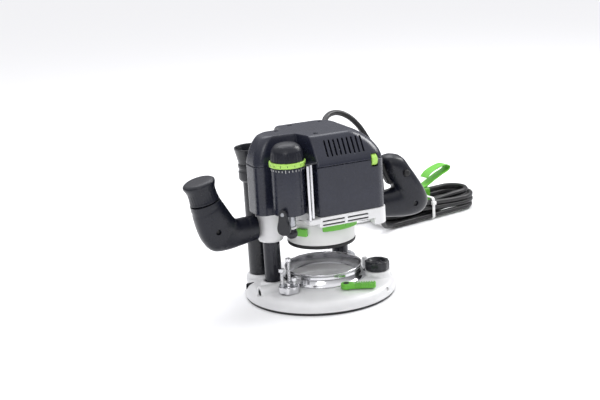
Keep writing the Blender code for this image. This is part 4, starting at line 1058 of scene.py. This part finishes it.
def right_handle():
    """Right arm and pistol grip, with its trigger, lock button and screws."""
    body = grip("right_grip", RIGHT_GRIP, (9,))
    slot = block("slot", (0.022, 0.013, 0.03), at(*TRIGGER_AT), 0.001, TRIGGER_WAY)
    bore = lathe("bore", rod(0.0046, -0.012, 0.02), at(*LOCK_AT), (0, -1, 0), 32)
    boolean(body, [slot, bore])
    screw_well(body, *RIGHT_SCREW)
    body.name = "right_grip"
    piece(body, GRIP, "carriage", "right_handle")
    well_screw("grip_screw_right", *RIGHT_SCREW)
    lever = block("switch_trigger", (0.012, 0.0118, 0.0285), at(*TRIGGER_AT), 0.0028, TRIGGER_WAY)
    piece(lever, RUBBER, "trigger", "trigger")
    button = [(0, 0.006), (0.003, 0.0058), (0.0042, 0.0045), (0.0042, -0.004)]
    piece(lathe("lock_button", button, at(*LOCK_AT), (0, -1, 0), 40), RUBBER, "trigger_lock",
          "trigger_lock", slot="black_rubber")


# ---- depth stop and dial --------------------------------------------------------------
def depth_stop():
    """Depth stop: tube with a marked scale, lime ring, domed knob, stop rod and clamp lever."""
    x, y = from_spindle(STOP)
    foot = at(x, y)
    pipe = [(0.019, 0.168), (0.019, 0.1145), (0.018, 0.113), (0.0062, 0.113), (0.0062, 0.168)]
    housing = lathe("stop_tube", pipe, foot, sides=112, ring=True, edge=0.0008)
    piece(housing, NAVY, "carriage", "depth_stop_housing")
    marks(foot, 0.019, 0.1655, 30, 0.0036, "tube_marks", NYLON, "carriage", "white_nylon")
    band = [(0.0203, 0.1743), (0.0208, 0.1737), (0.0208, 0.1692), (0.0203, 0.1686), (0.012, 0.1683),
            (0.012, 0.1743)]
    scale = lathe("scale_band", band, foot, sides=112, ring=True, edge=0.0004)
    piece(scale, LIME_PALE, "fine_adjuster", "depth_scale_ring")
    marks(foot, 0.0208, 0.1714, 16, 0.003, "band_marks", INK_AND_SHADE, "fine_adjuster", "moulded_plastic")
    cap = [(0, 0.195), (0.006, 0.1947), (0.011, 0.1936), (0.015, 0.1908), (0.0175, 0.1862),
           (0.0187, 0.1805), (0.0192, 0.1755), (0.019, 0.1746), (0.0117, 0.1746), (0.0117, 0.17)]
    flutes = ribs(30, 0.0005, span=(0.1755, 0.184))
    knob = lathe("adjuster_cap", cap, foot, sides=150, lobes=flutes, edge=0.0016)
    piece(knob, GRIP, "fine_adjuster", "fine_adjust_knob")
    bar = [(0.005, 0.15), (0.0055, 0.1495), (0.0055, 0.0982), (0.004, 0.0978), (0.004, 0.094)]
    piece(lathe("stop_bar", bar, foot, sides=48, edge=0.0003), STEEL, "depth_rod", "depth_stop_rod")
    collar = [(0.0062, 0.0978), (0.0062, 0.0955), (0.0041, 0.095), (0.0041, 0.0978)]
    stop_ring = lathe("bar_collar", collar, foot, sides=48, ring=True, edge=0.0004)
    piece(stop_ring, NYLON, "depth_rod", slot="white_nylon")
    ball = [(0, 0.0949), (0.0036, 0.0947), (0.0056, 0.0934), (0.0067, 0.0912), (0.0069, 0.089),
            (0.0064, 0.0866), (0.005, 0.0846), (0.003, 0.0835), (0, 0.0832)]
    piece(lathe("bar_tip", ball, foot, sides=56, edge=0.001), DARK, "depth_rod", slot="moulded_plastic")
    clamp_lever(x, y)


def clamp_lever(x, y):
    """Drop-shaped lever that clamps the stop rod, with its pivot screw."""
    way = Vector((-0.696, -0.718, 0.0))
    drop = catmull([(-0.0042, 0.0035), (0.0, 0.005), (0.0042, 0.0035), (0.0052, -0.006), (0.0078, -0.0155),
                    (0.0068, -0.0215), (0.0015, -0.0245), (-0.005, -0.0225), (-0.0072, -0.0165),
                    (-0.0052, -0.006), (-0.0042, 0.0035)], 5)[:-1]
    pivot = at(x, y, 0.118) + way * 0.0196
    hung = [(-p.x * way.y - p.y * way.x, p.x * way.x - p.y * way.y) for p in drop]
    lever = slab("rod_clamp", hung, 0, 0.006, pivot, way, edge=0.0016)
    piece(lever, DARK, "depth_clamp", "depth_clamp_lever")
    head = [(0.0018, 0.0066), (0.0024, 0.006), (0.0024, 0.005)]
    piece(lathe("clamp_screw", head, pivot, way, 32, edge=0.0002), STEEL, "depth_clamp", slot="ground_steel")


def marks(foot, radius, height, count, length, name, mat, body, slot_name):
    """Fine upright strokes round a drum, every fifth one longer."""
    strokes = []
    for i in range(count):
        angle = 2 * math.pi * i / count
        tall = length * (1.0 if i % 5 == 0 else 0.6)
        spot = foot + Vector((*polar(radius, angle), height))
        strokes.append(block("stroke", (0.0002, 0.0006, tall), spot, 0, spin=angle))
    piece(merged(name, strokes), mat, body, slot=slot_name)


def scale_rods():
    """Two bright rods and the dark bracket that holds their tops."""
    for node, x, y, radius in (("scale_rod", -0.04, -0.062, 0.0016),
                               ("guide_rod", -0.034, -0.057, 0.0019)):
        bar = lathe(f"{node}_bar", rod(radius, 0.1068, 0.17, 0.0003), at(x, y), sides=40, edge=0.0002)
        piece(bar, CHROME, "carriage", node)
    outline = rounded_outline([(-0.045, -0.0655, 0.002), (-0.026, -0.0615, 0.003),
                               (-0.03, -0.05, 0.002), (-0.038, -0.053, 0.001)], 6)
    piece(slab("rod_clip", outline, 0.1704, 0.1722, edge=0.0005), DARK, "carriage", "rod_bracket")


def speed_dial():
    """Ridged lime thumb wheel."""
    wheel = [(0.0062, 0.0034), (0.0068, 0.0028), (0.0068, -0.0028), (0.0062, -0.0034)]
    ridges = ribs(22, 0.0004, least=0.006)
    obj = lathe("dial_wheel", wheel, at(DIAL_X, FRONT_Y + 0.0048, DIAL_Z), (1, 0, 0), 110, lobes=ridges,
                edge=0.0003)
    piece(obj, LIME_PALE, "speed_dial", "speed_dial")


# ---- pieces on the cord ---------------------------------------------------------------
def cord_gland():
    """Tapered, ribbed strain relief."""
    tip = 0.028
    profile = [(0.0046, tip - 0.0003), (0.005, tip - 0.001)]
    for i in range(5):
        level = tip - 0.003 - 0.0034 * i
        wide = 0.0051 + 0.0003 * i
        profile += [(wide, level), (wide, level - 0.002), (wide - 0.0009, level - 0.0024),
                    (wide - 0.0009, level - 0.003)]
    profile += [(0.0074, 0.007), (0.0074, -0.006)]
    obj = lathe("strain_relief", profile, at(*GLAND_AT), GLAND_WAY, 56, edge=0.0004)
    return piece(obj, RUBBER, "carriage", "cord_gland")


def lead_plug():
    """Two-pin plug: a ribbed boot, a flat body and bright pins."""
    way = Vector((-0.96, 0.28, 0.0)).normalized()
    side = Vector((0, 0, 1)).cross(way)
    start = at(0.13, 0.2318, 0.0131)
    stations = [(0.0, 0.0046, 0.0046), (0.005, 0.005, 0.005), (0.01, 0.0054, 0.0054),
                (0.014, 0.0058, 0.0058), (0.026, 0.0085, 0.0085), (0.034, 0.015, 0.0118),
                (0.04, 0.0178, 0.0126), (0.05, 0.0176, 0.0124), (0.06, 0.018, 0.0127),
                (0.063, 0.017, 0.0118)]
    rings = []
    for along, wide, tall in catmull(stations, 5):
        centre = start + way * along
        corners = [squared(2 * math.pi * i / 48, 0.7) for i in range(48)]
        rings.append([centre + side * (wide * c) + Vector((0, 0, tall * s)) for c, s in corners])
    body = piece(loft("plug_body", rings), RUBBER, "base", "lead_plug")
    pins = []
    for offset in (-0.0095, 0.0095):
        spot = start + way * 0.062 + side * offset
        pins.append(lathe("pin", rod(0.0024, 0, 0.022, 0.0008), spot, way, 28))
    return body, piece(merged("plug_pins", pins), CHROME, "base", slot="bright_steel")


def tie_and_strap():
    """Nylon tie with its head, and the lime strap whose end curls over the hank."""
    low_z, high_z = LAYERS[0] - CORD_R - 0.0002, LAYERS[3] + CORD_R + 0.0004
    far = OUTER + CORD_R + 0.0004
    tie = hank_band("nylon_tie", -far, far, low_z, high_z, 0.0011, -0.005, 0.0045)
    head = block("tie_head", (0.0062, 0.0052, 0.0048), (0, 0, 0), 0.0006)
    head.matrix_world = hank_frame() @ Matrix.Translation((-0.005, -far - 0.001, 0.024))
    inner = INNER - CORD_R - 0.001
    strap = hank_band("strap_band", inner, far, low_z, high_z, 0.0013, 0.021, 0.016)
    curl = [(0.014, 0.0316), (0.026, 0.0345), (0.04, 0.0405), (0.054, 0.046), (0.066, 0.05),
            (0.07, 0.055), (0.062, 0.059), (0.048, 0.057), (0.034, 0.052), (0.026, 0.0455)]
    ribbon = slab("curl", strip(catmull(curl, 6), 0.0015), -inner - 0.016, -inner, edge=0.0004)
    ribbon.matrix_world = hank_frame() @ Matrix(((1, 0, 0, 0), (0, 0, -1, 0), (0, 1, 0, 0), (0, 0, 0, 1)))
    ties = piece(merged("cable_tie_loop", [tie, head]), NYLON, "base", "cable_tie")
    return ties, piece(merged("strap_loop", [strap, ribbon]), STRAP, "base", "hook_strap")


def hank_frame():
    """Placement of the hank: its X along its runs."""
    return Matrix.Translation(HANK_AT) @ Matrix.Rotation(HANK_TURN, 4, "Z")


def strip(points, thickness):
    """Outline of a strip of even thickness along a run of flat points."""
    left, right = [], []
    for i, point in enumerate(points):
        way = (points[min(i + 1, len(points) - 1)] - points[max(i - 1, 0)]).normalized()
        across = Vector((-way.y, way.x)) * (thickness / 2)
        left.append(tuple(point + across))
        right.append(tuple(point - across))
    return left + right[::-1]


def hank_band(name, near, far, bottom, top, thickness, along, width):
    """Closed flat band round part of the hank, at a distance along it."""
    def loop(extra):
        curve = 0.003 + extra
        return rounded_outline([(near - extra, bottom - extra, curve), (far + extra, bottom - extra, curve),
                                (far + extra, top + extra, curve), (near - extra, top + extra, curve)], 6)

    data = bmesh.new()
    rows = []
    for extra, level in ((0, -1), (thickness, -1), (thickness, 1), (0, 1)):
        rows.append([data.verts.new((level * width / 2, y, z)) for y, z in loop(extra)])
    skin(data, rows, closed=True)
    obj = mesh_object(name, data, 40)
    obj.matrix_world = hank_frame() @ Matrix.Translation((along, 0, 0))
    return obj


dress_cad()
camera()
stage()
cord([cord_gland(), *lead_plug(), *tie_and_strap()])
base_casting()
base_fittings()
dust_duct()
template_lever()
stop_turret()
clamp_knobs()
motor_housing()
top_cover()
motor_carrier()
shroud()
left_handle()
right_handle()
depth_stop()
scale_rods()
speed_dial()
